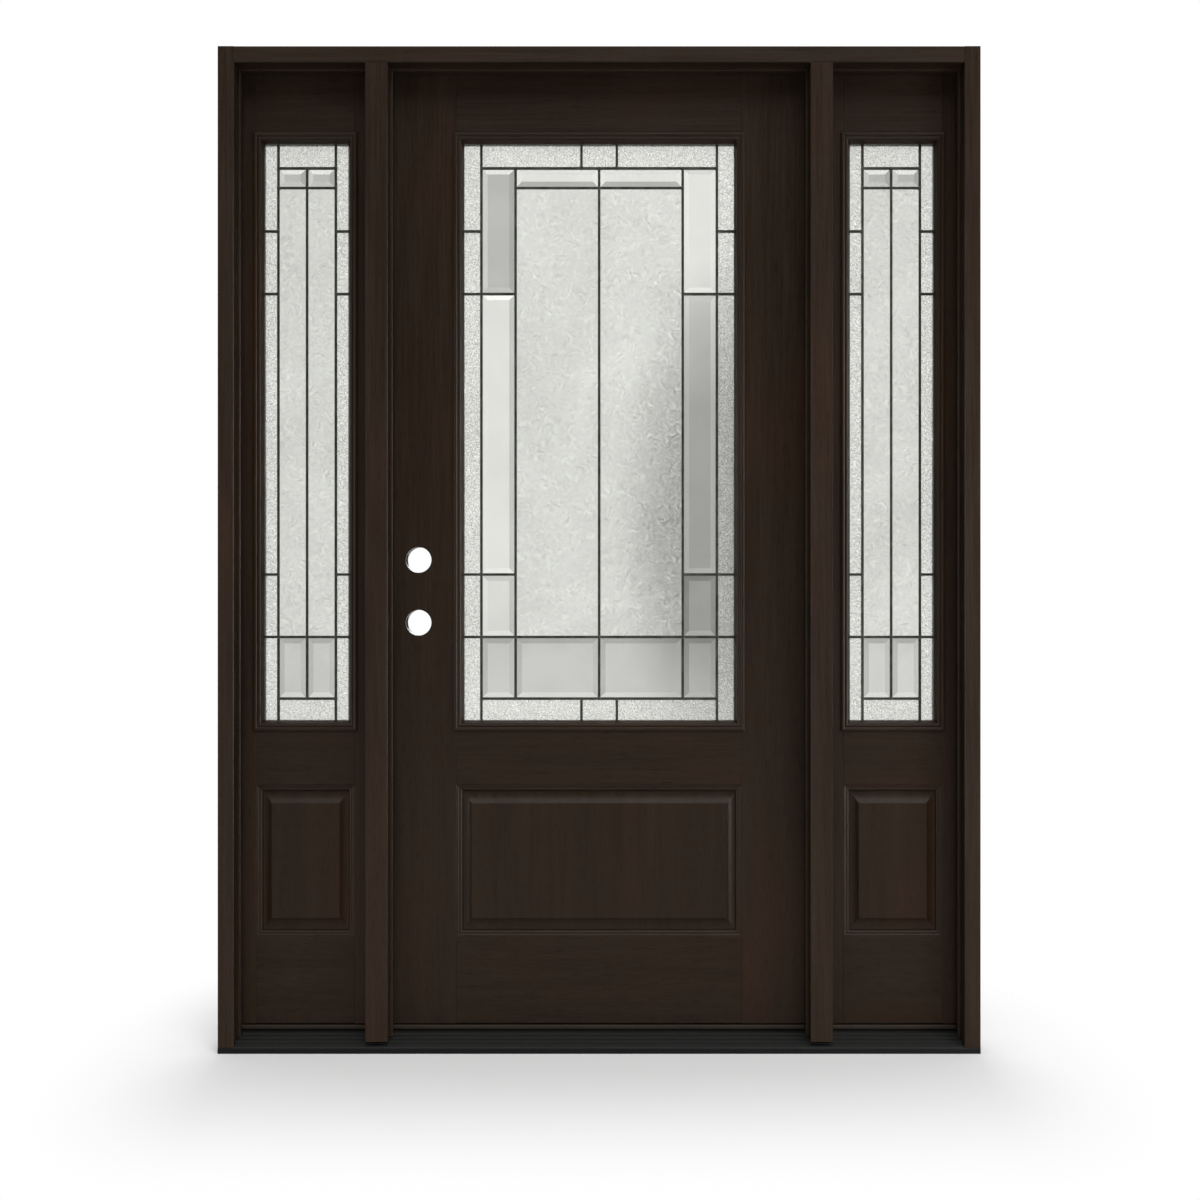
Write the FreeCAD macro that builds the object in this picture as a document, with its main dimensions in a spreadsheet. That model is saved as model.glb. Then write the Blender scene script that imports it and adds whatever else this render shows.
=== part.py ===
import FreeCAD, Part
import math
import os
from collections import namedtuple

import Sketcher

Vector = FreeCAD.Vector

# Driving dimensions in millimetres. Heights are above the underside of the sill,
# widths with "half" run from a centre line, +Y points into the house.
SIZES = {
    # Outer frame
    "frame_width": 1572.0,
    "frame_height": 2076.0,
    "frame_depth": 116.0,
    "jamb_thickness": 33.0,
    "post_width": 46.0,
    "post_centre": 459.0,
    "front_depth": 39.5,
    "stop_depth": 21.0,
    "stop_proud": 5.4,
    "leaf_rabbet": 9.0,
    "edge_ease": 1.2,
    "cut_margin": 10.0,
    # Sill
    "nose_height": 12.5,
    "tread_depth": 65.0,
    "tread_back": 27.0,
    "tread_wall": 3.0,
    "nose_round": 4.0,
    "ridge_first": 17.5,
    "ridge_pitch": 16.8,
    "ridge_width": 3.5,
    "ridge_height": 2.5,
    "sill_top": 30.0,
    "jamb_toe": 13.0,
    "foot_play": 0.4,
    "post_foot": 24.7,
    "post_foot_depth": 36.0,
    "cap_height": 12.0,
    "cap_setback": 3.0,
    "cap_lip": 8.5,
    "cap_undercut": 8.0,
    "cap_nose": 3.0,
    "cap_play": 0.5,
    # Leaves: the door and the two sidelights
    "leaf_thickness": 44.5,
    "door_gap": 5.0,
    "bottom_gap": 3.0,
    "sidelight_gap": 1.0,
    "leaf_ease": 0.8,
    "lock_bevel": 2.3,
    "glass_bottom": 680.8,
    "glass_head": 179.0,
    "door_glass_half": 285.0,
    "sidelight_glass_half": 88.4,
    "panel_bottom": 227.5,
    "panel_top": 546.0,
    # Lite frame moulding round the glass
    "lite_width": 21.0,
    "lite_lap": 6.0,
    "lite_edge": 3.5,
    "lite_bead": 8.0,
    "lite_crown": 1.8,
    "lite_quirk": 1.6,
    "lite_ovolo_run": 9.0,
    "lite_ovolo_drop": 4.5,
    "lite_ovolo_swell": 3.0,
    "lite_lip": 12.0,
    # Raised panel and the moulding round it
    "sticking_width": 13.0,
    "sticking_quirk": 1.0,
    "sticking_edge": 5.0,
    "sticking_edge_drop": 1.8,
    "sticking_edge_swell": 0.5,
    "sticking_fillet": 2.4,
    "sticking_swell": 1.8,
    "sticking_foot": 1.2,
    "panel_groove": 10.5,
    "panel_relief": 1.0,
    "panel_side_cove": 18.5,
    "panel_end_cove": 25.0,
    "panel_cove_sag": 2.1,
    "panel_foot": 1.0,
    "panel_play": 0.4,
    # Leaded light
    "came_face": 5.3,
    "came_depth": 6.6,
    "came_heart": 1.6,
    "edge_came": 12.0,
    "edge_cover": 3.0,
    "pane_thickness": 3.2,
    "pane_play": 0.2,
    "bevel_width": 10.5,
    "bevel_rise": 2.4,
    "top_border": 49.2,
    "bottom_border": 45.6,
    "door_side_border": 36.0,
    "door_side_bevel": 72.3,
    "key_half": 37.4,
    "sidelight_side_border": 27.7,
    "top_bevel": 41.8,
    "side_split": 182.5,
    "upper_row": 315.0,
    "lower_row": 308.1,
    "base_row": 176.0,
    # Lock bores, and the recesses for the latch and strike plates
    "bore_diameter": 54.0,
    "bore_backset": 60.3,
    "lock_height": 887.3,
    "bore_spacing": 132.0,
    "latch_bore": 25.4,
    "latch_recess": 3.6,
    "latch_plate_width": 25.4,
    "strike_recess": 2.0,
    "strike_width": 28.0,
    "strike_hole_width": 16.0,
    "strike_hole_height": 28.0,
    "strike_hole_depth": 16.0,
    "lock_plate_height": 57.0,
    "lock_plate_corner": 6.4,
    # Butt hinges
    "hinge_height": 102.0,
    "hinge_drop": 178.0,
    "hinge_raise": 255.0,
    "hinge_leaf": 32.0,
    "hinge_corner": 16.0,
    "hinge_metal": 2.5,
    "barrel_radius": 6.0,
    "barrel_offset": 6.5,
    "pin_radius": 3.0,
    "pin_play": 0.05,
    "pin_tip": 3.0,
    "knuckle_play": 0.25,
    # Seals
    "seal_width": 9.0,
    "seal_crown": 3.6,
    "seal_setback": 1.0,
    "seal_play": 0.3,
    "sweep_width": 30.0,
    "sweep_base": 1.0,
    "sweep_play": 0.5,
    "fin_width": 2.0,
    "fin_pitch": 12.0,
}

RIDGES = 3
HINGES = 3
KNUCKLES = 5
FINS = 3
QUARTER_TURN = 1 - math.cos(math.radians(45))
SAME_POINT = 1e-6

doc = FreeCAD.newDocument("door_with_sidelights")
sheet = doc.addObject("Spreadsheet::Sheet", "Sizes")
for row, (alias, length) in enumerate(SIZES.items(), start=1):
    sheet.set(f"A{row}", alias)
    sheet.set(f"B{row}", str(length))
    sheet.setAlias(f"B{row}", alias)
doc.recompute()


class Size:
    """A length with the cell formula that it comes from."""

    def __init__(self, value, text):
        self.value = value
        self.text = text

    def __neg__(self):
        return Size(-self.value, f"(-{self.text})")

    def __add__(self, other):
        other = as_size(other)
        return Size(self.value + other.value, f"({self.text} + {other.text})")

    def __sub__(self, other):
        other = as_size(other)
        return Size(self.value - other.value, f"({self.text} - {other.text})")

    def __mul__(self, other):
        other = as_size(other)
        return Size(self.value * other.value, f"({self.text} * {other.text})")

    def __truediv__(self, other):
        other = as_size(other)
        return Size(self.value / other.value, f"({self.text} / {other.text})")


def as_size(value):
    return value if isinstance(value, Size) else Size(float(value), repr(float(value)))


def size(alias):
    return Size(float(sheet.get(alias)), f"Sizes.{alias}")


# A corner of an outline. bulge swells the side that starts there into an arc, outwards on an
# outline that runs anticlockwise. ease takes the sharp edge off the corner, and fillet rounds it.
Corner = namedtuple("Corner", "x y bulge ease fillet", defaults=(None, None, None))


def rectangle(low_x, high_x, low_y, high_y, **edges):
    return [
        Corner(low_x, low_y, **edges),
        Corner(high_x, low_y, **edges),
        Corner(high_x, high_y, **edges),
        Corner(low_x, high_y, **edges),
    ]


def moved_towards(corner, other, distance):
    """The point on the straight side from corner to other, at the given distance."""
    across = other.x.value - corner.x.value
    along = other.y.value - corner.y.value
    if abs(across) > abs(along):
        return Corner(corner.x + distance * math.copysign(1, across), corner.y)
    return Corner(corner.x, corner.y + distance * math.copysign(1, along))


def with_eased_edges(corners):
    """Swap each corner that has an ease or a fillet for the two ends of its chamfer or arc."""
    eased = []
    for index, corner in enumerate(corners):
        reach = corner.ease or corner.fillet
        if reach is None:
            eased.append(corner)
            continue
        start = moved_towards(corner, corners[index - 1], reach)
        if corner.fillet is not None:
            start = start._replace(bulge=reach * QUARTER_TURN)
        eased.append(start)
        eased.append(moved_towards(corner, corners[(index + 1) % len(corners)], reach))
    return eased


def arc_radius(start, end, bulge):
    across = end.x - start.x
    along = end.y - start.y
    return ((across * across + along * along) / 4 + bulge * bulge) / (bulge * 2)


def draw(sketch, corners):
    """Draw one closed outline and tie each of its corners to the sheet."""
    corners = with_eased_edges(corners)
    ends = corners[1:] + corners[:1]
    sides = []
    datums = []
    for corner, end in zip(corners, ends):
        start_point = Vector(corner.x.value, corner.y.value, 0)
        end_point = Vector(end.x.value, end.y.value, 0)
        if corner.bulge is None:
            edge = Part.LineSegment(start_point, end_point)
        else:
            chord = end_point - start_point
            outwards = Vector(chord.y, -chord.x, 0).normalize()
            crown = (start_point + end_point) * 0.5 + outwards * corner.bulge.value
            edge = Part.Arc(start_point, crown, end_point)
        index = sketch.addGeometry(edge, False)
        starts_at = 1 if sketch.getPoint(index, 1).isEqual(start_point, SAME_POINT) else 2
        sides.append((index, starts_at, 3 - starts_at))
        datums.append(("DistanceX", (-1, 1, index, starts_at), corner.x))
        datums.append(("DistanceY", (-1, 1, index, starts_at), corner.y))
        if corner.bulge is not None:
            datums.append(("Radius", (index,), arc_radius(corner, end, corner.bulge)))
    joins = [
        Sketcher.Constraint("Coincident", index, ends_at, following, follows_at)
        for (index, _, ends_at), (following, follows_at, _) in zip(sides, sides[1:] + sides[:1])
    ]
    sketch.addConstraint(joins)
    tie(sketch, datums)


def draw_circle(sketch, x, y, radius):
    index = sketch.addGeometry(
        Part.Circle(Vector(x.value, y.value, 0), Vector(0, 0, 1), radius.value), False
    )
    tie(sketch, [
        ("DistanceX", (-1, 1, index, 3), x),
        ("DistanceY", (-1, 1, index, 3), y),
        ("Radius", (index,), radius),
    ])


def tie(sketch, datums):
    """Add driving constraints and bind each one to its formula."""
    first = sketch.ConstraintCount
    sketch.addConstraint([
        Sketcher.Constraint(kind, *places, length.value) for kind, places, length in datums
    ])
    for index, (_, _, length) in enumerate(datums, start=first):
        sketch.setExpression(f"Constraints[{index}]", length.text)


sub_parts = []


def new_body(label, across=None, into=None):
    """A sub-part with its own frame, set across and into the opening."""
    body = doc.addObject("PartDesign::Body", label)
    body.Label = label
    if across is not None:
        body.setExpression("Placement.Base.x", across.text)
    if into is not None:
        body.setExpression("Placement.Base.y", into.text)
    sub_parts.append(body)
    return body


def origin_feature(body, role):
    return next(item for item in body.Origin.OriginFeatures if item.Role == role)


def new_sketch(body, plane, *outlines, offset=None):
    sketch = body.newObject("Sketcher::SketchObject", f"{body.Name}_sketch")
    sketch.AttachmentSupport = [(origin_feature(body, plane), "")]
    sketch.MapMode = "FlatFace"
    if offset is not None:
        sketch.setExpression("AttachmentOffset.Base.z", offset.text)
    for outline in outlines:
        draw(sketch, outline)
    return sketch


def pad(body, sketch, length, both_ways=False, backwards=False, draft=None):
    feature = body.newObject("PartDesign::Pad", f"{body.Name}_pad")
    feature.Profile = sketch
    feature.setExpression("Length", length.text)
    feature.SideType = "Symmetric" if both_ways else "One side"
    feature.Reversed = backwards
    if draft is not None:
        feature.setExpression("TaperAngle", draft.text)
    return feature


def pocket(body, sketch, length, both_ways=False, backwards=False):
    feature = body.newObject("PartDesign::Pocket", f"{body.Name}_pocket")
    feature.Profile = sketch
    feature.setExpression("Length", length.text)
    feature.SideType = "Symmetric" if both_ways else "One side"
    feature.Reversed = backwards
    return feature


def sweep(body, profile, path):
    feature = body.newObject("PartDesign::AdditivePipe", f"{body.Name}_sweep")
    feature.Profile = profile
    feature.Spine = (path, [])
    feature.Transition = "Right corner"
    return feature


def mirror(body, plane, *features):
    feature = body.newObject("PartDesign::Mirrored", f"{body.Name}_mirror")
    feature.Originals = list(features)
    feature.MirrorPlane = (origin_feature(body, plane), [""])
    body.Tip = feature


def stack(body, features, distance, copies):
    feature = body.newObject("PartDesign::LinearPattern", f"{body.Name}_stack")
    feature.Originals = features
    feature.Direction = (origin_feature(body, "Z_Axis"), [""])
    feature.setExpression("Length", distance.text)
    feature.Occurrences = copies
    body.Tip = feature


def inward_draft(run, rise):
    """The draft angle of a bevel that runs in by run while it rises by rise."""
    degrees = -math.degrees(math.atan2(run.value, rise.value))
    return Size(degrees, f"(-atan({run.text} / {rise.text}))")


# Places that several sub-parts share
half_frame = size("frame_width") / 2
front = -size("frame_depth") / 2
back = size("frame_depth") / 2
jamb_face = half_frame - size("jamb_thickness")
jamb_stop = jamb_face - size("stop_proud")
jamb_rabbet = jamb_face + size("leaf_rabbet")
head_face = size("frame_height") - size("jamb_thickness")
head_stop = head_face - size("stop_proud")
head_rabbet = head_face + size("leaf_rabbet")
post_door_face = size("post_centre") - size("post_width") / 2
post_side_face = size("post_centre") + size("post_width") / 2
door_stop = post_door_face - size("stop_proud")
side_stop = post_side_face + size("stop_proud")
door_rabbet = post_door_face + size("leaf_rabbet")
side_rabbet = post_side_face - size("leaf_rabbet")
stop_front = front + size("front_depth")
stop_back = stop_front + size("stop_depth")
tread_rear = front + size("tread_depth")
cap_front = tread_rear + size("cap_setback")
cap_top = size("sill_top") + size("cap_height")
leaf_middle = back - size("leaf_thickness") / 2
leaf_half_thickness = size("leaf_thickness") / 2
leaf_ease = size("leaf_ease")
leaf_bottom = cap_top + size("bottom_gap")
door_half = door_rabbet - size("door_gap")
door_top = head_rabbet - size("door_gap")
sidelight_centre = (side_rabbet + jamb_rabbet) / 2
sidelight_half = (jamb_rabbet - side_rabbet) / 2 - size("sidelight_gap")
sidelight_top = head_rabbet - size("sidelight_gap")
glass_bottom = size("glass_bottom")
glass_top = size("frame_height") - size("glass_head")
opening_bottom = glass_bottom - size("lite_width") + size("lite_lap")
opening_top = glass_top + size("lite_width") - size("lite_lap")
lock_levels = (size("lock_height"), size("lock_height") + size("bore_spacing"))
margin = size("cut_margin")
ease = size("edge_ease")
whole_width = size("frame_width") + margin * 2


# Frame

def foot_cut(body, *cope):
    """Cut the foot of an upright to sit on the sill, coped over the tread from the back forwards."""
    line = [
        Corner(front - margin, -margin),
        Corner(back + margin, -margin),
        Corner(back + margin, size("sill_top")),
        Corner(tread_rear, size("sill_top")),
        *cope,
        Corner(front - margin, cope[-1].y),
    ]
    pocket(body, new_sketch(body, "YZ_Plane", line), whole_width * 2, both_ways=True)


def build_jamb(label, side):
    section = [
        Corner(half_frame * side, front, ease=ease),
        Corner(half_frame * side, back),
        Corner(jamb_rabbet * side, back),
        Corner(jamb_rabbet * side, stop_back),
        Corner(jamb_stop * side, stop_back),
        Corner(jamb_stop * side, stop_front, ease=ease),
        Corner(jamb_face * side, stop_front),
        Corner(jamb_face * side, front, ease=ease),
    ]
    body = new_body(label)
    pad(body, new_sketch(body, "XY_Plane", section), size("frame_height"))
    toe = front + size("jamb_toe")
    over_tread = tread_height(size("jamb_toe")) + size("foot_play")
    over_nose = size("nose_height") + size("foot_play")
    foot_cut(
        body,
        Corner(toe, over_tread + size("ridge_height")),
        Corner(toe, over_tread),
        Corner(front, over_nose),
    )


def build_post(label, side):
    section = [
        Corner(post_door_face * side, front, ease=ease),
        Corner(post_side_face * side, front, ease=ease),
        Corner(post_side_face * side, stop_front),
        Corner(side_stop * side, stop_front, ease=ease),
        Corner(side_stop * side, stop_back),
        Corner(side_rabbet * side, stop_back),
        Corner(side_rabbet * side, back),
        Corner(door_rabbet * side, back),
        Corner(door_rabbet * side, stop_back),
        Corner(door_stop * side, stop_back),
        Corner(door_stop * side, stop_front, ease=ease),
        Corner(post_door_face * side, stop_front),
    ]
    body = new_body(label)
    pad(body, new_sketch(body, "XY_Plane", section), head_rabbet)
    foot_cut(body, Corner(front + size("post_foot_depth"), size("post_foot")))
    top_cope = [
        Corner(front - margin, head_face),
        Corner(stop_front, head_face),
        Corner(stop_front, head_stop),
        Corner(stop_back, head_stop),
        Corner(stop_back, head_rabbet + margin),
        Corner(front - margin, head_rabbet + margin),
    ]
    pocket(body, new_sketch(body, "YZ_Plane", top_cope), whole_width * 2, both_ways=True)
    return body


def build_head(label):
    section = [
        Corner(front, head_face, ease=ease),
        Corner(stop_front, head_face),
        Corner(stop_front, head_stop, ease=ease),
        Corner(stop_back, head_stop),
        Corner(stop_back, head_rabbet),
        Corner(back, head_rabbet),
        Corner(back, size("frame_height")),
        Corner(front, size("frame_height"), ease=ease),
    ]
    body = new_body(label)
    pad(body, new_sketch(body, "YZ_Plane", section), jamb_rabbet * 2, both_ways=True)
    ends = [
        [
            Corner(jamb_face * side, front - margin),
            Corner(half_frame * side, front - margin),
            Corner(half_frame * side, stop_back),
            Corner(jamb_stop * side, stop_back),
            Corner(jamb_stop * side, stop_front),
            Corner(jamb_face * side, stop_front),
        ]
        for side in (-1, 1)
    ]
    cope = new_sketch(body, "XY_Plane", *ends)
    pocket(body, cope, (size("frame_height") + margin) * 2, both_ways=True)


# Sill

def tread_height(depth):
    """Height of the sloping tread between its ridges, at a depth behind the nose."""
    slope = (size("tread_back") - size("nose_height")) / size("tread_depth")
    return size("nose_height") + depth * slope


def build_tread(label):
    wall = size("tread_wall")
    round_over = size("nose_round")
    shoulder = tread_height(round_over)
    surface = [Corner(tread_rear, tread_height(size("tread_depth")))]
    for ridge in reversed(range(RIDGES)):
        near = size("ridge_first") + size("ridge_pitch") * ridge - size("ridge_width") / 2
        far = near + size("ridge_width")
        surface += [
            Corner(front + far, tread_height(far)),
            Corner(front + far, tread_height(far) + size("ridge_height")),
            Corner(front + near, tread_height(near) + size("ridge_height")),
            Corner(front + near, tread_height(near)),
        ]
    outline = [
        Corner(front, as_size(0)),
        Corner(front + wall, as_size(0)),
        Corner(front + wall, tread_height(wall) - wall),
        Corner(tread_rear, tread_height(size("tread_depth")) - wall),
    ] + surface + [
        Corner(front + round_over, shoulder, bulge=round_over * QUARTER_TURN),
        Corner(front, shoulder - round_over),
    ]
    body = new_body(label)
    pad(body, new_sketch(body, "YZ_Plane", outline), size("frame_width"), both_ways=True)


def build_sill_base(label):
    wall = size("tread_wall")
    outline = [
        Corner(front + wall, as_size(0)),
        Corner(back, as_size(0)),
        Corner(back, size("sill_top")),
        Corner(tread_rear, size("sill_top")),
        Corner(tread_rear, tread_height(size("tread_depth")) - wall),
        Corner(front + wall, tread_height(wall) - wall),
    ]
    body = new_body(label)
    pad(body, new_sketch(body, "YZ_Plane", outline), size("frame_width"), both_ways=True)


def cap_section():
    """A block on the sill with a rounded lip that hangs over the tread."""
    neck = cap_front + size("cap_undercut")
    under_lip = cap_top - size("cap_lip")
    return [
        Corner(neck, size("sill_top")),
        Corner(back, size("sill_top")),
        Corner(back, cap_top),
        Corner(cap_front, cap_top, fillet=size("cap_nose")),
        Corner(cap_front, under_lip, ease=ease),
        Corner(neck, under_lip),
    ]


def build_caps():
    door_cap = new_body("door_sill_cap")
    length = (door_rabbet - size("cap_play")) * 2
    pad(door_cap, new_sketch(door_cap, "YZ_Plane", cap_section()), length, both_ways=True)
    caps = new_body("sidelight_sill_caps")
    near = side_rabbet + size("cap_play")
    far = jamb_rabbet - size("cap_play")
    cap = pad(caps, new_sketch(caps, "YZ_Plane", cap_section(), offset=near), far - near)
    mirror(caps, "YZ_Plane", cap)


# Leaves

class Leaf:
    """The door or a sidelight: x = 0 on its centre line, y = 0 at the middle of its thickness."""

    def __init__(self, name, across, half_width, top, glass_half):
        self.name = name
        self.across = across
        self.half_width = half_width
        self.top = top
        self.glass_half = glass_half
        self.opening_half = glass_half + size("lite_width") - size("lite_lap")

    def body(self, part):
        return new_body(f"{self.name}_{part}", self.across, leaf_middle)


def build_stile(leaf, part, side, bevel=None):
    """An upright of the leaf; bevel sets the outer edge back on the outside face."""
    outer = leaf.half_width * side
    outer_front = outer if bevel is None else outer - bevel * side
    section = [
        Corner(leaf.opening_half * side, -leaf_half_thickness, ease=leaf_ease),
        Corner(outer_front, -leaf_half_thickness),
        Corner(outer, leaf_half_thickness),
        Corner(leaf.opening_half * side, leaf_half_thickness, ease=leaf_ease),
    ]
    body = leaf.body(part)
    sketch = new_sketch(body, "XY_Plane", section, offset=leaf_bottom)
    pad(body, sketch, leaf.top - leaf_bottom)
    return body


def build_rail(leaf, part, bottom, top):
    section = rectangle(-leaf_half_thickness, leaf_half_thickness, bottom, top, ease=leaf_ease)
    body = leaf.body(part)
    pad(body, new_sketch(body, "YZ_Plane", section), leaf.opening_half * 2, both_ways=True)


def build_moulding(leaf, part, half, bottom, top, profile):
    """A mitred moulding round an opening, on the outside face and mirrored on the inside face.

    The profile has each corner as (inwards from the opening's edge, proud of the face, bulge).
    """
    section = [
        Corner(inwards - half, -leaf_half_thickness - proud, bulge)
        for inwards, proud, bulge in profile
    ]
    body = leaf.body(part)
    path = new_sketch(body, "XZ_Plane", rectangle(-half, half, bottom, top))
    outline = new_sketch(body, "XY_Plane", section, offset=(bottom + top) / 2)
    mirror(body, "XZ_Plane", sweep(body, outline, path))


def lite_profile():
    bead = size("lite_bead")
    under_bead = size("lite_edge") - size("lite_quirk")
    glass = size("came_depth") / 2 - leaf_half_thickness
    none = as_size(0)
    return [
        (none, none, None),
        (none, size("lite_edge"), size("lite_crown")),
        (bead, size("lite_edge"), None),
        (bead, under_bead, size("lite_ovolo_swell")),
        (bead + size("lite_ovolo_run"), under_bead - size("lite_ovolo_drop"), None),
        (size("lite_width"), -size("lite_lip"), None),
        (size("lite_width"), glass, None),
        (size("lite_lap"), glass, None),
        (size("lite_lap"), none, None),
    ]


def sticking_profile():
    quirk = -size("sticking_quirk")
    groove = -size("panel_groove")
    under_edge = quirk - size("sticking_edge_drop")
    ovolo = size("sticking_edge") + size("sticking_fillet")
    none = as_size(0)
    return [
        (none, groove, None),
        (none, quirk, size("sticking_edge_swell")),
        (size("sticking_edge"), under_edge, None),
        (ovolo, under_edge, size("sticking_swell")),
        (size("sticking_width"), groove + size("sticking_foot"), None),
        (size("sticking_width"), groove, None),
    ]


def anticlockwise(corners):
    """The same outline, turned round if it runs clockwise."""
    area = 0.0
    for corner, after in zip(corners, corners[1:] + corners[:1]):
        area += corner.x.value * after.y.value - after.x.value * corner.y.value
    if area > 0:
        return corners
    order = reversed(range(len(corners)))
    return [corners[index]._replace(bulge=corners[index - 1].bulge) for index in order]


def cove_waste(face, edge, run):
    """What a cutter takes off one edge of one face of a panel, as corners (depth, along).

    face is the side of the panel, -1 outside or 1 inside, and edge is the edge's place. run is the
    width of the cove, and is negative where the cove runs the other way.
    """
    field = (leaf_half_thickness - size("panel_relief")) * face
    foot = (leaf_half_thickness - size("panel_groove") + size("panel_foot")) * face
    clear = leaf_half_thickness * face
    beyond = edge + size("panel_play") * math.copysign(1, run.value)
    return [
        Corner(field, edge - run, bulge=size("panel_cove_sag")),
        Corner(foot, edge),
        Corner(foot, beyond),
        Corner(clear, beyond),
        Corner(clear, edge - run),
    ]


def build_raised_panel(leaf):
    """A panel with a tongue all round, and a field that coves run down from on both faces."""
    half = leaf.opening_half - size("panel_play")
    bottom = size("panel_bottom") + size("panel_play")
    top = size("panel_top") - size("panel_play")
    tongue = size("leaf_thickness") - size("panel_groove") * 2
    field = size("leaf_thickness") - size("panel_relief") * 2
    inset = size("sticking_width")
    side = half - inset
    foot = bottom + inset
    head = top - inset
    body = leaf.body("raised_panel")
    pad(body, new_sketch(body, "XZ_Plane", rectangle(-half, half, bottom, top)), tongue, both_ways=True)
    pad(body, new_sketch(body, "XZ_Plane", rectangle(-side, side, foot, head)), field, both_ways=True)
    ends = []
    sides = []
    for face in (-1, 1):
        for edge, run in ((head, size("panel_end_cove")), (foot, -size("panel_end_cove"))):
            ends.append(anticlockwise(cove_waste(face, edge, run)))
        for edge, run in ((side, size("panel_side_cove")), (-side, -size("panel_side_cove"))):
            waste = cove_waste(face, edge, run)
            turned = [corner._replace(x=corner.y, y=corner.x) for corner in waste]
            sides.append(anticlockwise(turned))
    pocket(body, new_sketch(body, "YZ_Plane", *ends), half * 2, both_ways=True)
    pocket(body, new_sketch(body, "XY_Plane", *sides, offset=bottom), top - bottom, backwards=True)


# Leaded lights

Pane = namedtuple("Pane", "low_x high_x low_z high_z bevelled")

came_line_out = size("edge_cover") + size("came_face") / 2
top_edge_line = glass_top + came_line_out
top_line = glass_top - size("top_border")
bevel_line = top_line - size("top_bevel")
split_line = glass_top - size("side_split")
upper_line = glass_top - size("upper_row")
lower_line = glass_bottom + size("lower_row")
base_line = glass_bottom + size("base_row")
bottom_line = glass_bottom + size("bottom_border")
bottom_edge_line = glass_bottom - came_line_out
centre_line = as_size(0)


def side_border(inner, outer):
    """The textured strips down both edges of a light."""
    lines = [bottom_edge_line, base_line, lower_line, upper_line, split_line, top_edge_line]
    panes = []
    for low, high in zip(lines, lines[1:]):
        panes.append(Pane(-outer, -inner, low, high, False))
        panes.append(Pane(inner, outer, low, high, False))
    return panes


def centre_panes(half):
    """Bevels over and under a pair of tall textured panes."""
    panes = []
    for low_x, high_x in ((-half, centre_line), (centre_line, half)):
        panes.append(Pane(low_x, high_x, bevel_line, top_line, True))
        panes.append(Pane(low_x, high_x, base_line, bevel_line, False))
        panes.append(Pane(low_x, high_x, bottom_line, base_line, True))
    return panes


def end_borders(lines):
    """The textured strips along the top and the bottom of a light."""
    panes = []
    for low, high in zip(lines, lines[1:]):
        panes.append(Pane(low, high, top_line, top_edge_line, False))
        panes.append(Pane(low, high, bottom_edge_line, bottom_line, False))
    return panes


def door_panes(leaf):
    """The door's panes in groups: edge strips, end strips, bevelled columns and centre."""
    outer = leaf.glass_half + came_line_out
    border = leaf.glass_half - size("door_side_border")
    column = border - size("door_side_bevel")
    key = size("key_half")
    rows = [bottom_line, base_line, lower_line, upper_line, top_line]
    columns = []
    for low, high in zip(rows, rows[1:]):
        columns.append(Pane(-border, -column, low, high, True))
        columns.append(Pane(column, border, low, high, True))
    return [
        side_border(border, outer),
        end_borders([-border, -key, key, border]),
        columns,
        centre_panes(column),
    ]


def sidelight_panes(leaf):
    """A sidelight's panes in groups: edge strips, end strips and centre."""
    outer = leaf.glass_half + came_line_out
    border = leaf.glass_half - size("sidelight_side_border")
    return [side_border(border, outer), end_borders([-border, border]), centre_panes(border)]


def inset_panes(panes, inset):
    return [
        rectangle(pane.low_x + inset, pane.high_x - inset, pane.low_z + inset, pane.high_z - inset)
        for pane in panes
    ]


def build_cames(leaf, groups):
    """The lead lattice: an H section round every pane, and a wide lead at the edge."""
    edge = size("edge_came")
    depth = size("came_depth")
    half = leaf.glass_half + edge
    rim = rectangle(-half, half, glass_bottom - edge, glass_top + edge)
    channel = size("pane_thickness") + size("pane_play") * 2
    body = leaf.body("cames")
    pad(body, new_sketch(body, "XZ_Plane", rim), depth, both_ways=True)
    for panes in groups:
        sights = new_sketch(body, "XZ_Plane", *inset_panes(panes, size("came_face") / 2))
        pocket(body, sights, depth + margin, both_ways=True)
        seats = new_sketch(body, "XZ_Plane", *inset_panes(panes, size("came_heart") / 2))
        pocket(body, seats, channel, both_ways=True)


def build_glass(leaf, groups):
    """Flat panes in the channels; the clear ones have a bevelled face outside."""
    thickness = size("pane_thickness")
    rise = size("bevel_rise")
    body = leaf.body("glass")
    for panes in groups:
        cut_sizes = inset_panes(panes, size("came_heart") / 2 + size("pane_play"))
        pad(body, new_sketch(body, "XZ_Plane", *cut_sizes), thickness, both_ways=True)
        clear = [pane for pane in panes if pane.bevelled]
        if clear:
            crowns = inset_panes(clear, size("came_face") / 2 + size("pane_play"))
            sketch = new_sketch(body, "XZ_Plane", *crowns, offset=thickness / 2)
            pad(body, sketch, rise, draft=inward_draft(size("bevel_width"), rise))


def build_leaf(leaf, groups):
    build_rail(leaf, "top_rail", opening_top, leaf.top)
    build_rail(leaf, "mid_rail", size("panel_top"), opening_bottom)
    build_rail(leaf, "bottom_rail", leaf_bottom, size("panel_bottom"))
    build_raised_panel(leaf)
    build_moulding(
        leaf, "panel_mouldings", leaf.opening_half,
        size("panel_bottom"), size("panel_top"), sticking_profile(),
    )
    lite = size("lite_width")
    build_moulding(
        leaf, "lite_frames", leaf.glass_half + lite,
        glass_bottom - lite, glass_top + lite, lite_profile(),
    )
    build_cames(leaf, groups)
    build_glass(leaf, groups)


# Hinges

hinge_x = door_half + size("door_gap") / 2
hinge_y = back + size("barrel_offset")
low_hinge = leaf_bottom + size("hinge_raise")
high_hinge = door_top - size("hinge_drop") - size("hinge_height")
hinge_span = high_hinge - low_hinge


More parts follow.
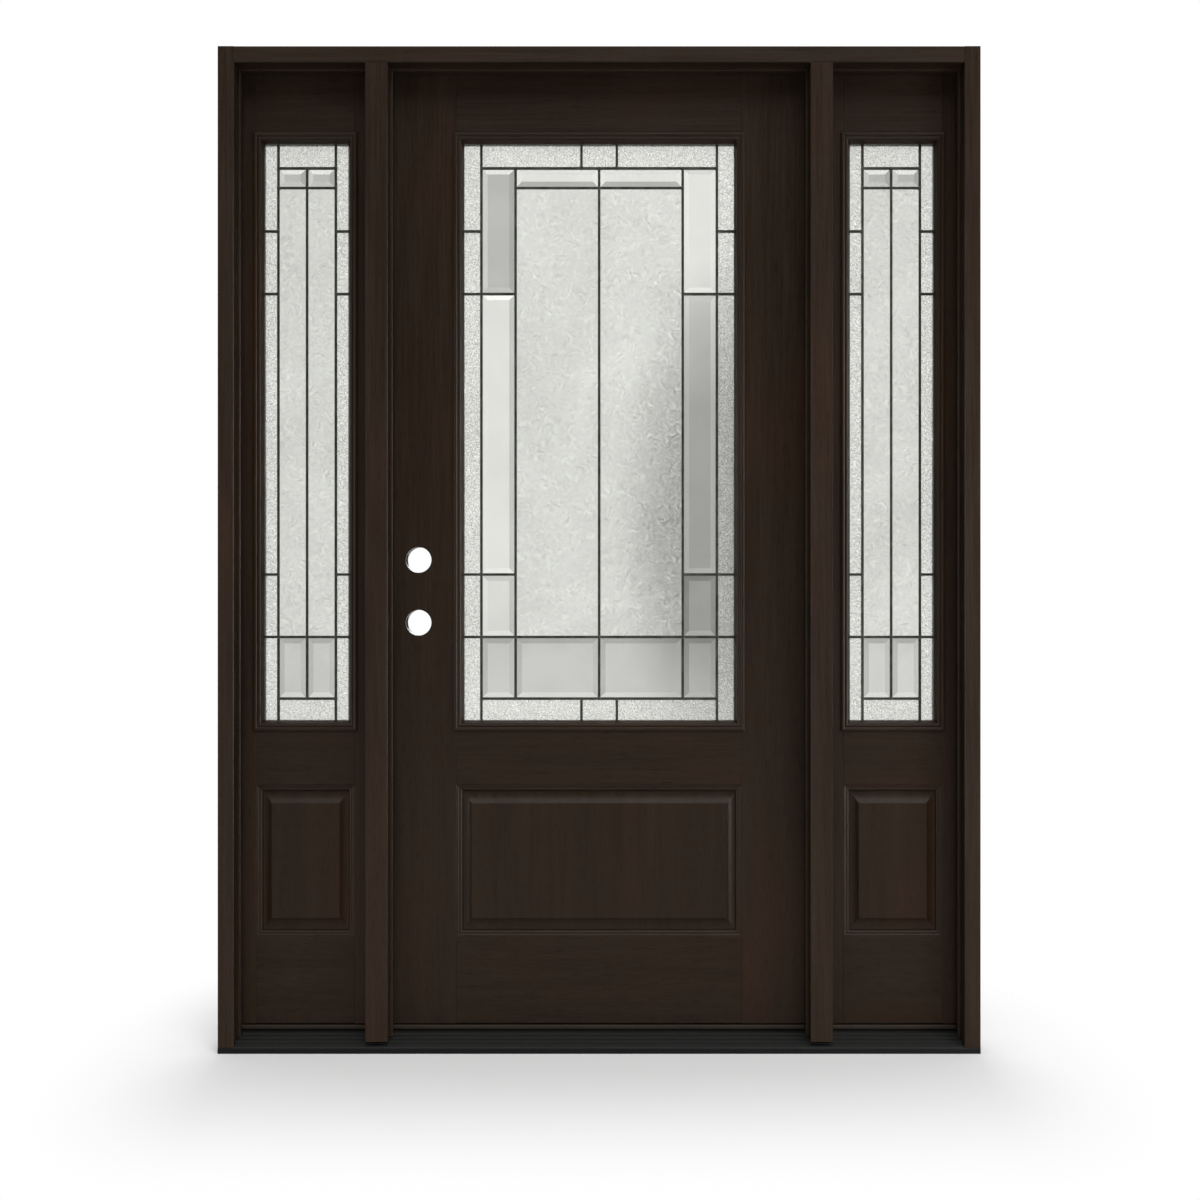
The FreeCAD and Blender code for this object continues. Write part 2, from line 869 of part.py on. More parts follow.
def hinge_outline(low_y, high_y, low_z):
    """A hinge plate or its mortise: round at the two corners away from the pin."""
    high_z = low_z + size("hinge_height")
    return [
        Corner(low_y, low_z, fillet=size("hinge_corner")),
        Corner(high_y, low_z),
        Corner(high_y, high_z),
        Corner(low_y, high_z, fillet=size("hinge_corner")),
    ]


def hinge_seats(low_y, high_y):
    """The outlines of the mortises down an edge, one for each hinge."""
    return [
        hinge_outline(low_y, high_y, low_hinge + hinge_span * number / (HINGES - 1))
        for number in range(HINGES)
    ]


def build_hinges(label, low_x, knuckles, has_pin):
    """One leaf of each hinge: a plate in its mortise, rolled into every other knuckle."""
    body = new_body(label)
    height = size("hinge_height")
    plate = hinge_outline(back - size("hinge_leaf"), hinge_y, low_hinge)
    features = [pad(body, new_sketch(body, "YZ_Plane", plate, offset=low_x), size("hinge_metal"))]
    barrel = new_sketch(body, "XY_Plane", offset=low_hinge)
    draw_circle(barrel, hinge_x, hinge_y, size("barrel_radius"))
    features.append(pad(body, barrel, height))
    step = height / KNUCKLES
    play = size("knuckle_play")
    behind = back + play
    gaps = [
        rectangle(
            behind, behind + margin * 2,
            low_hinge + step * number - play, low_hinge + step * (number + 1) + play,
        )
        for number in range(KNUCKLES) if number not in knuckles
    ]
    gap_sketch = new_sketch(body, "YZ_Plane", *gaps, offset=hinge_x)
    features.append(pocket(body, gap_sketch, margin * 2, both_ways=True))
    if has_pin:
        pin = new_sketch(body, "XY_Plane", offset=low_hinge - size("pin_tip"))
        draw_circle(pin, hinge_x, hinge_y, size("pin_radius"))
        features.append(pad(body, pin, height + size("pin_tip") * 2))
    else:
        bore = new_sketch(body, "XY_Plane", offset=low_hinge - margin)
        draw_circle(bore, hinge_x, hinge_y, size("pin_radius") + size("pin_play"))
        features.append(pocket(body, bore, height + margin * 2, backwards=True))
    stack(body, features, hinge_span, HINGES)


# Locks

def lock_plates(middle_y, width, height, corner):
    """The outlines of two plates or recesses down an edge, one level with each lock bore."""
    return [
        rectangle(
            middle_y - width / 2, middle_y + width / 2,
            level - height / 2, level + height / 2, fillet=corner,
        )
        for level in lock_levels
    ]


def cut_lock_bores(stile):
    """Bore the lock stile through its faces, and through its edge for the latches."""
    faces = new_sketch(stile, "XZ_Plane")
    edge = new_sketch(stile, "YZ_Plane", offset=-door_half)
    for level in lock_levels:
        draw_circle(faces, size("bore_backset") - door_half, level, size("bore_diameter") / 2)
        draw_circle(edge, as_size(0), level, size("latch_bore") / 2)
    pocket(stile, faces, size("leaf_thickness") + margin * 2, both_ways=True)
    pocket(stile, edge, size("bore_backset"), backwards=True)
    plates = lock_plates(
        as_size(0), size("latch_plate_width"), size("lock_plate_height"), size("lock_plate_corner")
    )
    recesses = new_sketch(stile, "YZ_Plane", *plates, offset=-door_half)
    pocket(stile, recesses, size("latch_recess"), backwards=True)


def cut_strikes(post):
    """Recess the post for the strike plates, with a pocket for each bolt."""
    corner = size("lock_plate_corner")
    plates = lock_plates(leaf_middle, size("strike_width"), size("lock_plate_height"), corner)
    holes = lock_plates(
        leaf_middle, size("strike_hole_width"), size("strike_hole_height"), corner
    )
    pocket(post, new_sketch(post, "YZ_Plane", *plates, offset=-door_rabbet), size("strike_recess"))
    pocket(post, new_sketch(post, "YZ_Plane", *holes, offset=-door_rabbet), size("strike_hole_depth"))


# Seals

def seal_section(half_stop):
    """A bulb on the back of a stop, just clear of the leaf's face."""
    bulb = size("seal_crown")
    inner = half_stop + size("seal_setback")
    outer = inner + size("seal_width")
    shoulder = back - size("leaf_thickness") - size("seal_play") - bulb
    return [
        Corner(-outer, stop_back),
        Corner(-inner, stop_back),
        Corner(-inner, shoulder, bulge=bulb),
        Corner(-outer, shoulder),
    ]


def build_seal(body, half_stop):
    """Run the bulb up one side, across the head and down the other side."""
    start = cap_top + size("seal_play")
    run = half_stop + size("seal_setback") + size("seal_width") / 2
    top = head_stop + size("seal_setback") + size("seal_width") / 2
    path = body.newObject("Sketcher::SketchObject", f"{body.Name}_path")
    path.AttachmentSupport = [(origin_feature(body, "XZ_Plane"), "")]
    path.MapMode = "FlatFace"
    draw_path(path, [Corner(-run, start), Corner(-run, top), Corner(run, top), Corner(run, start)])
    sweep(body, new_sketch(body, "XY_Plane", seal_section(half_stop), offset=start), path)


def draw_path(sketch, corners):
    """Draw an open path of straight runs and tie each of its corners to the sheet."""
    joins = []
    datums = []
    last = len(corners) - 2
    for index, (start, end) in enumerate(zip(corners, corners[1:])):
        sketch.addGeometry(
            Part.LineSegment(
                Vector(start.x.value, start.y.value, 0), Vector(end.x.value, end.y.value, 0)
            ),
            False,
        )
        datums.append(("DistanceX", (-1, 1, index, 1), start.x))
        datums.append(("DistanceY", (-1, 1, index, 1), start.y))
        if index < last:
            joins.append(Sketcher.Constraint("Coincident", index, 2, index + 1, 1))
    datums.append(("DistanceX", (-1, 1, last, 2), corners[-1].x))
    datums.append(("DistanceY", (-1, 1, last, 2), corners[-1].y))
    sketch.addConstraint(joins)
    tie(sketch, datums)


def build_sidelight_seal(leaf):
    """The bulb seal of a sidelight, and the strip that it stands on."""
    body = new_body(f"{leaf.name}_seal", leaf.across)
    build_seal(body, (jamb_stop - side_stop) / 2)
    half_strip = size("sweep_width") / 2
    strip = rectangle(leaf_middle - half_strip, leaf_middle + half_strip, cap_top, leaf_bottom)
    pad(body, new_sketch(body, "YZ_Plane", strip), leaf.half_width * 2, both_ways=True)


def build_sweep(leaf):
    """A finned strip under the door, just clear of the sill cap."""
    half = size("sweep_width") / 2
    root = leaf_bottom - size("sweep_base")
    tip = cap_top + size("sweep_play")
    outline = [Corner(half, leaf_bottom), Corner(-half, leaf_bottom), Corner(-half, root)]
    for fin in range(FINS):
        middle = size("fin_pitch") * (fin - (FINS - 1) / 2)
        low = middle - size("fin_width") / 2
        high = middle + size("fin_width") / 2
        outline += [Corner(low, root), Corner(low, tip), Corner(high, tip), Corner(high, root)]
    outline.append(Corner(half, root))
    body = leaf.body("sweep")
    length = (leaf.half_width - size("lock_bevel") - size("sweep_play")) * 2
    pad(body, new_sketch(body, "YZ_Plane", outline), length, both_ways=True)


# Build the frame
build_sill_base("sill_base")
build_tread("sill_tread")
build_caps()
build_head("head_jamb")
build_jamb("left_jamb", -1)
build_jamb("right_jamb", 1)
cut_strikes(build_post("left_post", -1))
right_post = build_post("right_post", 1)
mortises = new_sketch(
    right_post, "YZ_Plane", *hinge_seats(back - size("hinge_leaf"), back + margin), offset=door_rabbet
)
pocket(right_post, mortises, size("hinge_metal"), backwards=True)
build_seal(new_body("door_weatherstrip"), door_stop)
build_hinges("frame_hinge_leaves", door_rabbet, (0, 2, 4), has_pin=True)

# Build the sidelights
for name, side in (("left_sidelight", -1), ("right_sidelight", 1)):
    sidelight = Leaf(
        name, sidelight_centre * side, sidelight_half, sidelight_top, size("sidelight_glass_half")
    )
    build_stile(sidelight, "outer_stile", side)
    build_stile(sidelight, "inner_stile", -side)
    build_leaf(sidelight, sidelight_panes(sidelight))
    build_sidelight_seal(sidelight)

# Build the door
door = Leaf("door", as_size(0), door_half, door_top, size("door_glass_half"))
cut_lock_bores(build_stile(door, "lock_stile", -1, size("lock_bevel")))
hinge_stile = build_stile(door, "hinge_stile", 1)
mortises = new_sketch(
    hinge_stile, "YZ_Plane",
    *hinge_seats(leaf_half_thickness - size("hinge_leaf"), leaf_half_thickness + margin),
    offset=door_half,
)
pocket(hinge_stile, mortises, size("hinge_metal"))
build_leaf(door, door_panes(door))
build_sweep(door)
build_hinges("door_hinge_leaves", door_half - size("hinge_metal"), (1, 3), has_pin=False)

doc.recompute()

for item in doc.Objects:
    if "Invalid" in item.State or "Error" in item.State:
        raise RuntimeError(f"{item.Name} did not build: {item.State}")
for part in sub_parts:
    if part.Shape.isNull() or not part.Shape.isValid():
        raise RuntimeError(f"{part.Label} has no valid shape")

os.makedirs("parts", exist_ok=True)
for part in sub_parts:
    part.Shape.exportStep(os.path.join("parts", f"{part.Label}.step"))
    box = part.Shape.BoundBox
    print(
        f"{part.Label}: {len(part.Shape.Solids)} solids, {part.Shape.Volume / 1e6:.3f} litres, "
        f"x {box.XMin:.1f} to {box.XMax:.1f}, y {box.YMin:.1f} to {box.YMax:.1f}, "
        f"z {box.ZMin:.1f} to {box.ZMax:.1f}"
    )
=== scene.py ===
"""Looks of an in-swing entry door with two sidelights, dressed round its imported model."""

import logging
import math
from dataclasses import dataclass, field
from enum import Enum
from typing import Any, Optional, Sequence

import bmesh
import bpy
import numpy as np
from bpy.types import Light, Material, Mesh, Node, NodeSocket, NodeTree, Object
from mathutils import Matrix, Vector


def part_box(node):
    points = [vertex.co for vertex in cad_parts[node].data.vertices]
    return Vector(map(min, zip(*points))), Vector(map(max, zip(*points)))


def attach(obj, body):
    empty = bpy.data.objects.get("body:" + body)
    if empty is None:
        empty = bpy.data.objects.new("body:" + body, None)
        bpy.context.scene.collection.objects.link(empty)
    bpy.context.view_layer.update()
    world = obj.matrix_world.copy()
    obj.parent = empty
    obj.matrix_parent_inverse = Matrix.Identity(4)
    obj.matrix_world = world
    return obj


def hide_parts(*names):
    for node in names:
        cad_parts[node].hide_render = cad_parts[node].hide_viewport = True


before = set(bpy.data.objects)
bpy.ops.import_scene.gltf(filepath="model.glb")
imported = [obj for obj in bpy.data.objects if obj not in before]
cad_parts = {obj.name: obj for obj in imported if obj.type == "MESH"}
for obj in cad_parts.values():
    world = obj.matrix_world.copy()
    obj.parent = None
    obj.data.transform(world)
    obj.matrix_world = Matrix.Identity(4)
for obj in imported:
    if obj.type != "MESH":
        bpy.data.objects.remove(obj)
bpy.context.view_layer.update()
LOG = logging.getLogger("door_with_sidelights")
MM = 0.001
SAME_POINT = 0.001 * MM
SCREW_PROFILE = ((1.0, -0.4), (1.0, 0.35), (0.94, 0.8), (0.85, 1.0))
DOME_PROFILE = ((1.0, 0.0), (1.0, 0.3), (0.88, 0.62), (0.62, 0.86), (0.3, 0.97))
CROSS_ARM = 0.55
CROSS_HALF = 0.13
CROSS_FLOOR = (0.6, 0.7)
GLASS_IOR = 1.5
Colour = tuple[float, float, float, float]
Triple = tuple[float, float, float]
Pair = tuple[float, float]


class Grain(Enum):
    """The axis that a board's grain follows."""

    LEVEL = 0
    UPRIGHT = 2

    def stretch(self, share: float) -> tuple[float, ...]:
        """The scale of each axis for a pattern that is drawn out along the grain."""
        return tuple(share if axis == self.value else 1.0 for axis in range(3))


class Cut(Enum):
    """The kinds of glass in a leaded light."""

    GRANITE = 0
    RIPPLE = 1
    BEVEL = 2


class NodeBuilder:
    """Short calls that make and join the nodes of one tree."""

    def __init__(self, tree: NodeTree) -> None:
        """Take the tree that the nodes go into."""
        self.tree = tree

    def feed(self, socket: NodeSocket, value: Any) -> None:
        """Link an output socket to an input, or set the input's own value.

        Args:
            socket: The input.
            value: An output socket, or a plain value.
        """
        if isinstance(value, NodeSocket):
            self.tree.links.new(value, socket)
        else:
            socket.default_value = value

    def node(self, kind: str, inputs: Optional[dict[Any, Any]] = None, **options: Any) -> Node:
        """Add a node.

        Args:
            kind: Blender's name for the type of node.
            inputs: A value or an output socket for each input, by name or by place.
            options: The node's own settings.

        Returns:
            The new node.
        """
        made = self.tree.nodes.new(kind)
        for name, value in options.items():
            setattr(made, name, value)
        for key, value in (inputs or {}).items():
            self.feed(made.inputs[key], value)
        return made

    def maths(self, operation: str, first: Any, second: Any = 0.0) -> NodeSocket:
        """One sum of two numbers, each a plain number or a socket."""
        return self.node("ShaderNodeMath", {0: first, 1: second}, operation=operation).outputs[0]

    def vector(self, operation: str, first: Any, second: Any) -> NodeSocket:
        """One sum of two vectors, each a plain vector or a socket."""
        return self.node("ShaderNodeVectorMath", {0: first, 1: second}, operation=operation).outputs[0]

    def length(self, vector: Any) -> NodeSocket:
        """The length of a vector."""
        return self.node("ShaderNodeVectorMath", {0: vector}, operation="LENGTH").outputs["Value"]

    def spread(self, value: Any, low: float, high: float, to_low: float, to_high: float) -> NodeSocket:
        """Move a number softly from the range low to high into the range to_low to to_high."""
        inputs = {0: value, 1: low, 2: high, 3: to_low, 4: to_high}
        return self.node("ShaderNodeMapRange", inputs, interpolation_type="SMOOTHSTEP").outputs[0]

    def noise(self, place: Any, scale: float, detail: float = 2.0, distortion: float = 0.0) -> NodeSocket:
        """A cloudy number between 0 and 1, with its scale in cycles to a metre."""
        inputs = {"Vector": place, "Scale": scale, "Detail": detail, "Distortion": distortion}
        return self.node("ShaderNodeTexNoise", inputs).outputs[0]


class ShaderBuilder(NodeBuilder):
    """A material, with calls for the layers that the finishes are made of."""

    def __init__(self, name: str) -> None:
        """Make an empty material.

        Args:
            name: The material's name.
        """
        self.material = bpy.data.materials.new(name)
        self.material.use_nodes = True
        super().__init__(self.material.node_tree)
        self.surface = self.tree.nodes["Principled BSDF"]
        self.place = self.node("ShaderNodeTexCoord").outputs["Object"]

    def stretched(self, scale: Triple) -> NodeSocket:
        """The object's coordinates with each axis scaled."""
        return self.node("ShaderNodeMapping", {"Vector": self.place, "Scale": scale}).outputs[0]

    def mix(self, factor: Any, first: Any, second: Any, blend: str = "MIX") -> NodeSocket:
        """Mix two colours, each a plain colour or a socket, by the share of the second."""
        inputs = {0: factor, 6: first, 7: second}
        return self.node("ShaderNodeMix", inputs, data_type="RGBA", blend_type=blend).outputs[2]

    def relief(self, height: Any, strength: float, distance: float) -> None:
        """Roughen the surface with a fine relief whose full height is the distance in metres."""
        inputs = {"Height": height, "Strength": strength, "Distance": distance}
        self.feed(self.surface.inputs["Normal"], self.node("ShaderNodeBump", inputs).outputs[0])

    def finish(self, **sockets: Any) -> Material:
        """Set the surface's inputs.

        Args:
            sockets: Values or sockets by the input's name, with _ for each space.

        Returns:
            The finished material.
        """
        for name, value in sockets.items():
            self.feed(self.surface.inputs[name.replace("_", " ")], value)
        return self.material


@dataclass(frozen=True)
class StainedWood:
    """Dark stain on open-pored wood under a satin lacquer."""

    name: str
    dark: Colour
    light: Colour
    warm: Colour
    figure_scale: float = 30.0
    figure_draw: float = 0.07
    figure_share: float = 0.6
    streak_scale: float = 210.0
    streak_draw: float = 0.025
    pore_scale: float = 900.0
    pore_draw: float = 0.035
    patch_scale: float = 5.0
    patch_draw: float = 0.4
    pore_depth: float = 0.35
    relief_depth: float = 0.3 * MM
    roughness: Pair = (0.3, 0.42)
    gloss: float = 0.1

    def material(self, grain: Grain) -> Material:
        """Make the finish for boards of one grain direction.

        Args:
            grain: The way that the grain runs.

        Returns:
            The material.
        """
        shader = ShaderBuilder(f"{self.name}_{grain.name.lower()}")
        figure = shader.noise(shader.stretched(grain.stretch(self.figure_draw)), self.figure_scale, 5.0, 0.6)
        streaks = shader.noise(shader.stretched(grain.stretch(self.streak_draw)), self.streak_scale, 3.0)
        pores = shader.noise(shader.stretched(grain.stretch(self.pore_draw)), self.pore_scale, 1.0)
        patches = shader.noise(shader.stretched(grain.stretch(self.patch_draw)), self.patch_scale, 2.0)
        broad = shader.maths("MULTIPLY", figure, self.figure_share)
        tone = shader.maths("ADD", broad, shader.maths("MULTIPLY", streaks, 1.0 - self.figure_share))
        stain = shader.mix(shader.spread(tone, 0.3, 0.7, 0.0, 1.0), self.dark, self.light)
        stain = shader.mix(shader.spread(patches, 0.45, 0.75, 0.0, 0.6), stain, self.warm)
        open_pores = shader.spread(pores, 0.56, 0.66, 0.0, 1.0)
        pitted = shader.maths("MULTIPLY", open_pores, self.pore_depth)
        stain = shader.mix(pitted, stain, self.dark, "MULTIPLY")
        height = shader.maths("SUBTRACT", shader.maths("MULTIPLY", streaks, 0.5), open_pores)
        shader.relief(height, 0.3, self.relief_depth)
        sheen = shader.spread(streaks, 0.3, 0.7, *self.roughness)
        return shader.finish(Base_Color=stain, Roughness=sheen, Specular_IOR_Level=self.gloss)


@dataclass(frozen=True)
class BrushedMetal:
    """Metal with fine lines along one axis and a cloudy patina."""

    name: str
    base: Colour
    patina: Colour
    metallic: float = 1.0
    roughness: Pair = (0.3, 0.42)
    lines: Triple = (1.0, 1.0, 1.0)
    line_scale: float = 1500.0
    cloud_scale: float = 40.0
    depth: float = 0.05 * MM

    def material(self) -> Material:
        """Make the finish.

        Returns:
            The material.
        """
        shader = ShaderBuilder(self.name)
        lines = shader.noise(shader.stretched(self.lines), self.line_scale, 2.0)
        clouds = shader.noise(shader.place, self.cloud_scale, 4.0, 0.4)
        colour = shader.mix(shader.spread(clouds, 0.35, 0.68, 0.0, 1.0), self.base, self.patina)
        shader.relief(lines, 0.35, self.depth)
        gloss = shader.spread(clouds, 0.3, 0.7, *self.roughness)
        return shader.finish(Base_Color=colour, Metallic=self.metallic, Roughness=gloss)


@dataclass(frozen=True)
class MouldedPlastic:
    """Extruded composite, vinyl or foam with a fine drawn surface."""

    name: str
    base: Colour
    second: Colour
    roughness: float
    drawn: Triple = (0.02, 1.0, 1.0)
    scale: float = 420.0
    depth: float = 0.1 * MM
    gloss: float = 0.12
    gloss_change: float = 0.06

    def material(self) -> Material:
        """Make the finish.

        Returns:
            The material.
        """
        shader = ShaderBuilder(self.name)
        drawn = shader.noise(shader.stretched(self.drawn), self.scale, 3.0)
        grit = shader.noise(shader.place, self.scale * 4.0, 1.0)
        colour = shader.mix(shader.spread(drawn, 0.35, 0.65, 0.0, 1.0), self.base, self.second)
        shader.relief(shader.maths("ADD", drawn, shader.maths("MULTIPLY", grit, 0.5)), 0.4, self.depth)
        smooth, rough = self.roughness - self.gloss_change, self.roughness + self.gloss_change
        sheen = shader.spread(grit, 0.3, 0.7, smooth, rough)
        return shader.finish(Base_Color=colour, Roughness=sheen, Specular_IOR_Level=self.gloss)


@dataclass(frozen=True)
class TexturedGlass:
    """Rolled glass: greyish, with a painted highlight and a painted shade on each grain, light on one side
    and dark on the other, made stronger round one spot as a painted reflection.
    """

    name: str
    shade: Colour
    light: Colour
    grain_scale: float
    swirl: float
    shade_contrast: float
    relief_depth: float = 0.5 * MM
    cloud: float = 0.5
    cloud_scale: float = 6.0
    painted_shade_offset: float = 14.0 * MM
    turn_scale: float = 25.0
    # Painted reflection: round this spot the painted grain shading is made stronger.
    reflection_spot: Triple = (0.25, 0.0, 1.1)
    reflection_shape: Triple = (1.0, 0.0, 0.35)
    reflection_reach: Pair = (0.06, 0.24)
    reflection_gain: float = 3.0
    roughness: float = 0.1
    transmission: float = 0.85

    def material(self) -> Material:
        """Make the finish.

        Returns:
            The material.
        """
        shader = ShaderBuilder(self.name)
        wander = {"Vector": shader.place, "Scale": self.turn_scale, "Detail": 1.0}
        turn = shader.node("ShaderNodeTexNoise", wander).outputs["Color"]
        centred = shader.vector("SUBTRACT", turn, (0.5, 0.5, 0.5))
        step = shader.vector("MULTIPLY", centred, (self.painted_shade_offset,) * 3)
        beside = shader.vector("ADD", shader.place, step)
        grain = shader.noise(shader.place, self.grain_scale, 2.0, self.swirl)
        next_grain = shader.noise(beside, self.grain_scale, 2.0, self.swirl)
        clouds = shader.noise(shader.place, self.cloud_scale, 2.0, 0.5)
        # Painted reflection: the painted grain shading grows stronger towards a spot on the right of the
        # door.
        away = shader.vector("SUBTRACT", shader.place, self.reflection_spot)
        distance = shader.length(shader.vector("MULTIPLY", away, self.reflection_shape))
        reflection_boost = shader.spread(distance, *self.reflection_reach, self.reflection_gain, 1.0)
        strength = shader.maths("MULTIPLY", reflection_boost, self.shade_contrast)
        # Painted light: the grain less the grain a little way off gives each bump a painted lit side and a
        # painted shaded side.
        painted_relief_shade = shader.maths("MULTIPLY", shader.maths("SUBTRACT", grain, next_grain), strength)
        drift = shader.maths("MULTIPLY", shader.maths("SUBTRACT", clouds, 0.5), self.cloud)
        tone = shader.maths("ADD", shader.maths("ADD", painted_relief_shade, drift), 0.5)
        colour = shader.mix(tone, self.shade, self.light)
        shader.relief(grain, 1.0, self.relief_depth)
        return shader.finish(
            Base_Color=colour, Roughness=self.roughness, IOR=GLASS_IOR, Transmission_Weight=self.transmission
        )


@dataclass(frozen=True)
class BevelledGlass:
    """Polished clear glass with painted light: each bevel's colour is painted brighter or darker by the way
    it faces.
    """

    name: str
    dark: Colour
    light: Colour
    roughness: float = 0.05
    transmission: float = 0.9
    tone: str = "tone"
    cloud: float = 0.03
    cloud_scale: float = 9.0

    def material(self) -> Material:
        """Make the finish, with each facet's painted light tone read from the mesh.

        Returns:
            The material.
        """
        shader = ShaderBuilder(self.name)
        tone = shader.node("ShaderNodeAttribute", attribute_name=self.tone).outputs["Fac"]
        clouds = shader.noise(shader.place, self.cloud_scale, 2.0, 0.3)
        drift = shader.spread(clouds, 0.3, 0.7, -self.cloud, self.cloud)
        colour = shader.mix(shader.maths("ADD", tone, drift), self.dark, self.light)
        return shader.finish(
            Base_Color=colour, Roughness=self.roughness, IOR=GLASS_IOR, Transmission_Weight=self.transmission
        )


class Palette:
    """Every finish on the unit, each made once."""

    def __init__(self) -> None:
        """Make the materials."""
        leaf = StainedWood(
            "leaf_stain", dark=(0.016, 0.0091, 0.0049, 1), light=(0.0218, 0.013, 0.0073, 1),
            warm=(0.028, 0.013, 0.007, 1),
        )
        case = StainedWood(
            "frame_stain", dark=(0.0182, 0.0106, 0.006, 1), light=(0.0268, 0.0168, 0.0102, 1),
            warm=(0.032, 0.0156, 0.0088, 1),
        )
        self.leaf = {grain: leaf.material(grain) for grain in Grain}
        self.case = {grain: case.material(grain) for grain in Grain}
        self.lead = BrushedMetal(
            "lead_patina", (0.022, 0.023, 0.018, 1), (0.045, 0.046, 0.038, 1), metallic=0.7,
            roughness=(0.42, 0.58), line_scale=420.0, cloud_scale=55.0,
        ).material()
        self.solder = BrushedMetal(
            "solder_patina", (0.05, 0.051, 0.044, 1), (0.075, 0.076, 0.066, 1), metallic=0.85,
            line_scale=600.0, cloud_scale=90.0,
        ).material()
        self.hinge = BrushedMetal(
            "bronze_hinge_plate", (0.09, 0.07, 0.053, 1), (0.045, 0.033, 0.025, 1),
            roughness=(0.32, 0.46), lines=(1, 1, 0.01),
        ).material()
        self.adjuster = BrushedMetal(
            "plated_adjuster", (0.32, 0.25, 0.14, 1), (0.2, 0.15, 0.08, 1),
            line_scale=900.0, cloud_scale=120.0,
        ).material()
        # Painted shade: the tread's upright ridge faces and its nose get darker copies of its finish,
        # standing for the shade that falls on them.
        self.tread, self.tread_edge, self.tread_shaded_nose = (
            MouldedPlastic(name, base, second, roughness, scale=900.0, depth=0.03 * MM).material()
            for name, base, second, roughness in (
                ("dark_anodised_tread", (0.0165, 0.017, 0.0162, 1), (0.021, 0.0216, 0.0206, 1), 0.42),
                ("dark_tread_edge", (0.0085, 0.0088, 0.0084, 1), (0.0115, 0.0118, 0.0112, 1), 0.5),
                ("dark_sill_nose", (0.003, 0.0032, 0.003, 1), (0.0045, 0.0047, 0.0044, 1), 0.55),
            )
        )
        self.cap = MouldedPlastic(
            "brown_sill_cap", (0.0205, 0.0145, 0.0102, 1), (0.0265, 0.0192, 0.014, 1), roughness=0.55
        ).material()
        # Painted shade: the sill base is coloured nearly black to stand for the shade in the undercut
        # beneath the cap.
        self.base = MouldedPlastic(
            "sill_composite", (0.0055, 0.005, 0.0042, 1), (0.0075, 0.0068, 0.006, 1), roughness=0.7
        ).material()
        self.seal = MouldedPlastic(
            "foam_and_vinyl", (0.011, 0.0105, 0.01, 1), (0.017, 0.016, 0.015, 1), roughness=0.78,
            drawn=(1, 1, 1), scale=900.0,
        ).material()
        self.glass = {
            Cut.GRANITE: TexturedGlass(
                "granite_glass", (0.5, 0.505, 0.475, 1), (0.98, 0.985, 0.95, 1),
                grain_scale=330.0, swirl=0.8, shade_contrast=5.0, turn_scale=120.0,
            ).material(),
            Cut.RIPPLE: TexturedGlass(
                "ripple_glass", (0.52, 0.525, 0.495, 1), (0.92, 0.925, 0.89, 1),
                grain_scale=72.0, swirl=0.9, shade_contrast=1.35,
            ).material(),
            Cut.BEVEL: BevelledGlass(
                "bevelled_glass", (0.2, 0.2, 0.186, 1), (0.9, 0.905, 0.865, 1)
            ).material(),
        }


def add_object(name: str, data: Any) -> Object:
    """Make an object and add it to the scene.

    Args:
        name: The object's name.
        data: Its mesh, lamp or camera.

    Returns:
        The object.
    """
    made = bpy.data.objects.new(name, data)
    bpy.context.scene.collection.objects.link(made)
    return made


def shell_from(name: str, mesh: Mesh, body: str) -> Object:
    """Turn a finished mesh into a piece that rides on a body.

    Args:
        name: The piece's name.
        mesh: Its mesh, in the row frame.
        body: The body that it moves with.

    Returns:
        The piece.
    """
    mesh.name = name
    piece = add_object(name, mesh)
    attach(piece, body)
    LOG.info("%s: %d faces on %s", name, len(mesh.polygons), body)
    return piece


def dress(node: str, *materials: Material) -> Mesh:
    """Give a CAD node its finishes.

    Args:
        node: The node's name.
        materials: Its material slots in order.

    Returns:
        The node's mesh, for choosing a slot face by face.
    """
    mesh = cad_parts[node].data
    mesh.materials.clear()
    for material in materials:
        mesh.materials.append(material)
    return mesh


def islands(node: str) -> list[tuple[Vector, Vector]]:
    """The box of each separate solid in a CAD node.

    Args:
        node: The node's name.

    Returns:
        The lowest and highest corner of each solid.
    """
    copy = bmesh.new()
    copy.from_mesh(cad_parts[node].data)
    bmesh.ops.remove_doubles(copy, verts=copy.verts, dist=SAME_POINT)
    waiting = set(copy.verts)
    boxes = []
    while waiting:
        open_ends = [waiting.pop()]
        found = []
        while open_ends:
            vert = open_ends.pop()
            found.append(vert.co.copy())
            for edge in vert.link_edges:
                other = edge.other_vert(vert)
                if other in waiting:
                    waiting.remove(other)
                    open_ends.append(other)
        corners = np.array(found)
        boxes.append((Vector(corners.min(axis=0)), Vector(corners.max(axis=0))))
    copy.free()
    return sorted(boxes, key=lambda box: tuple(box[0]))


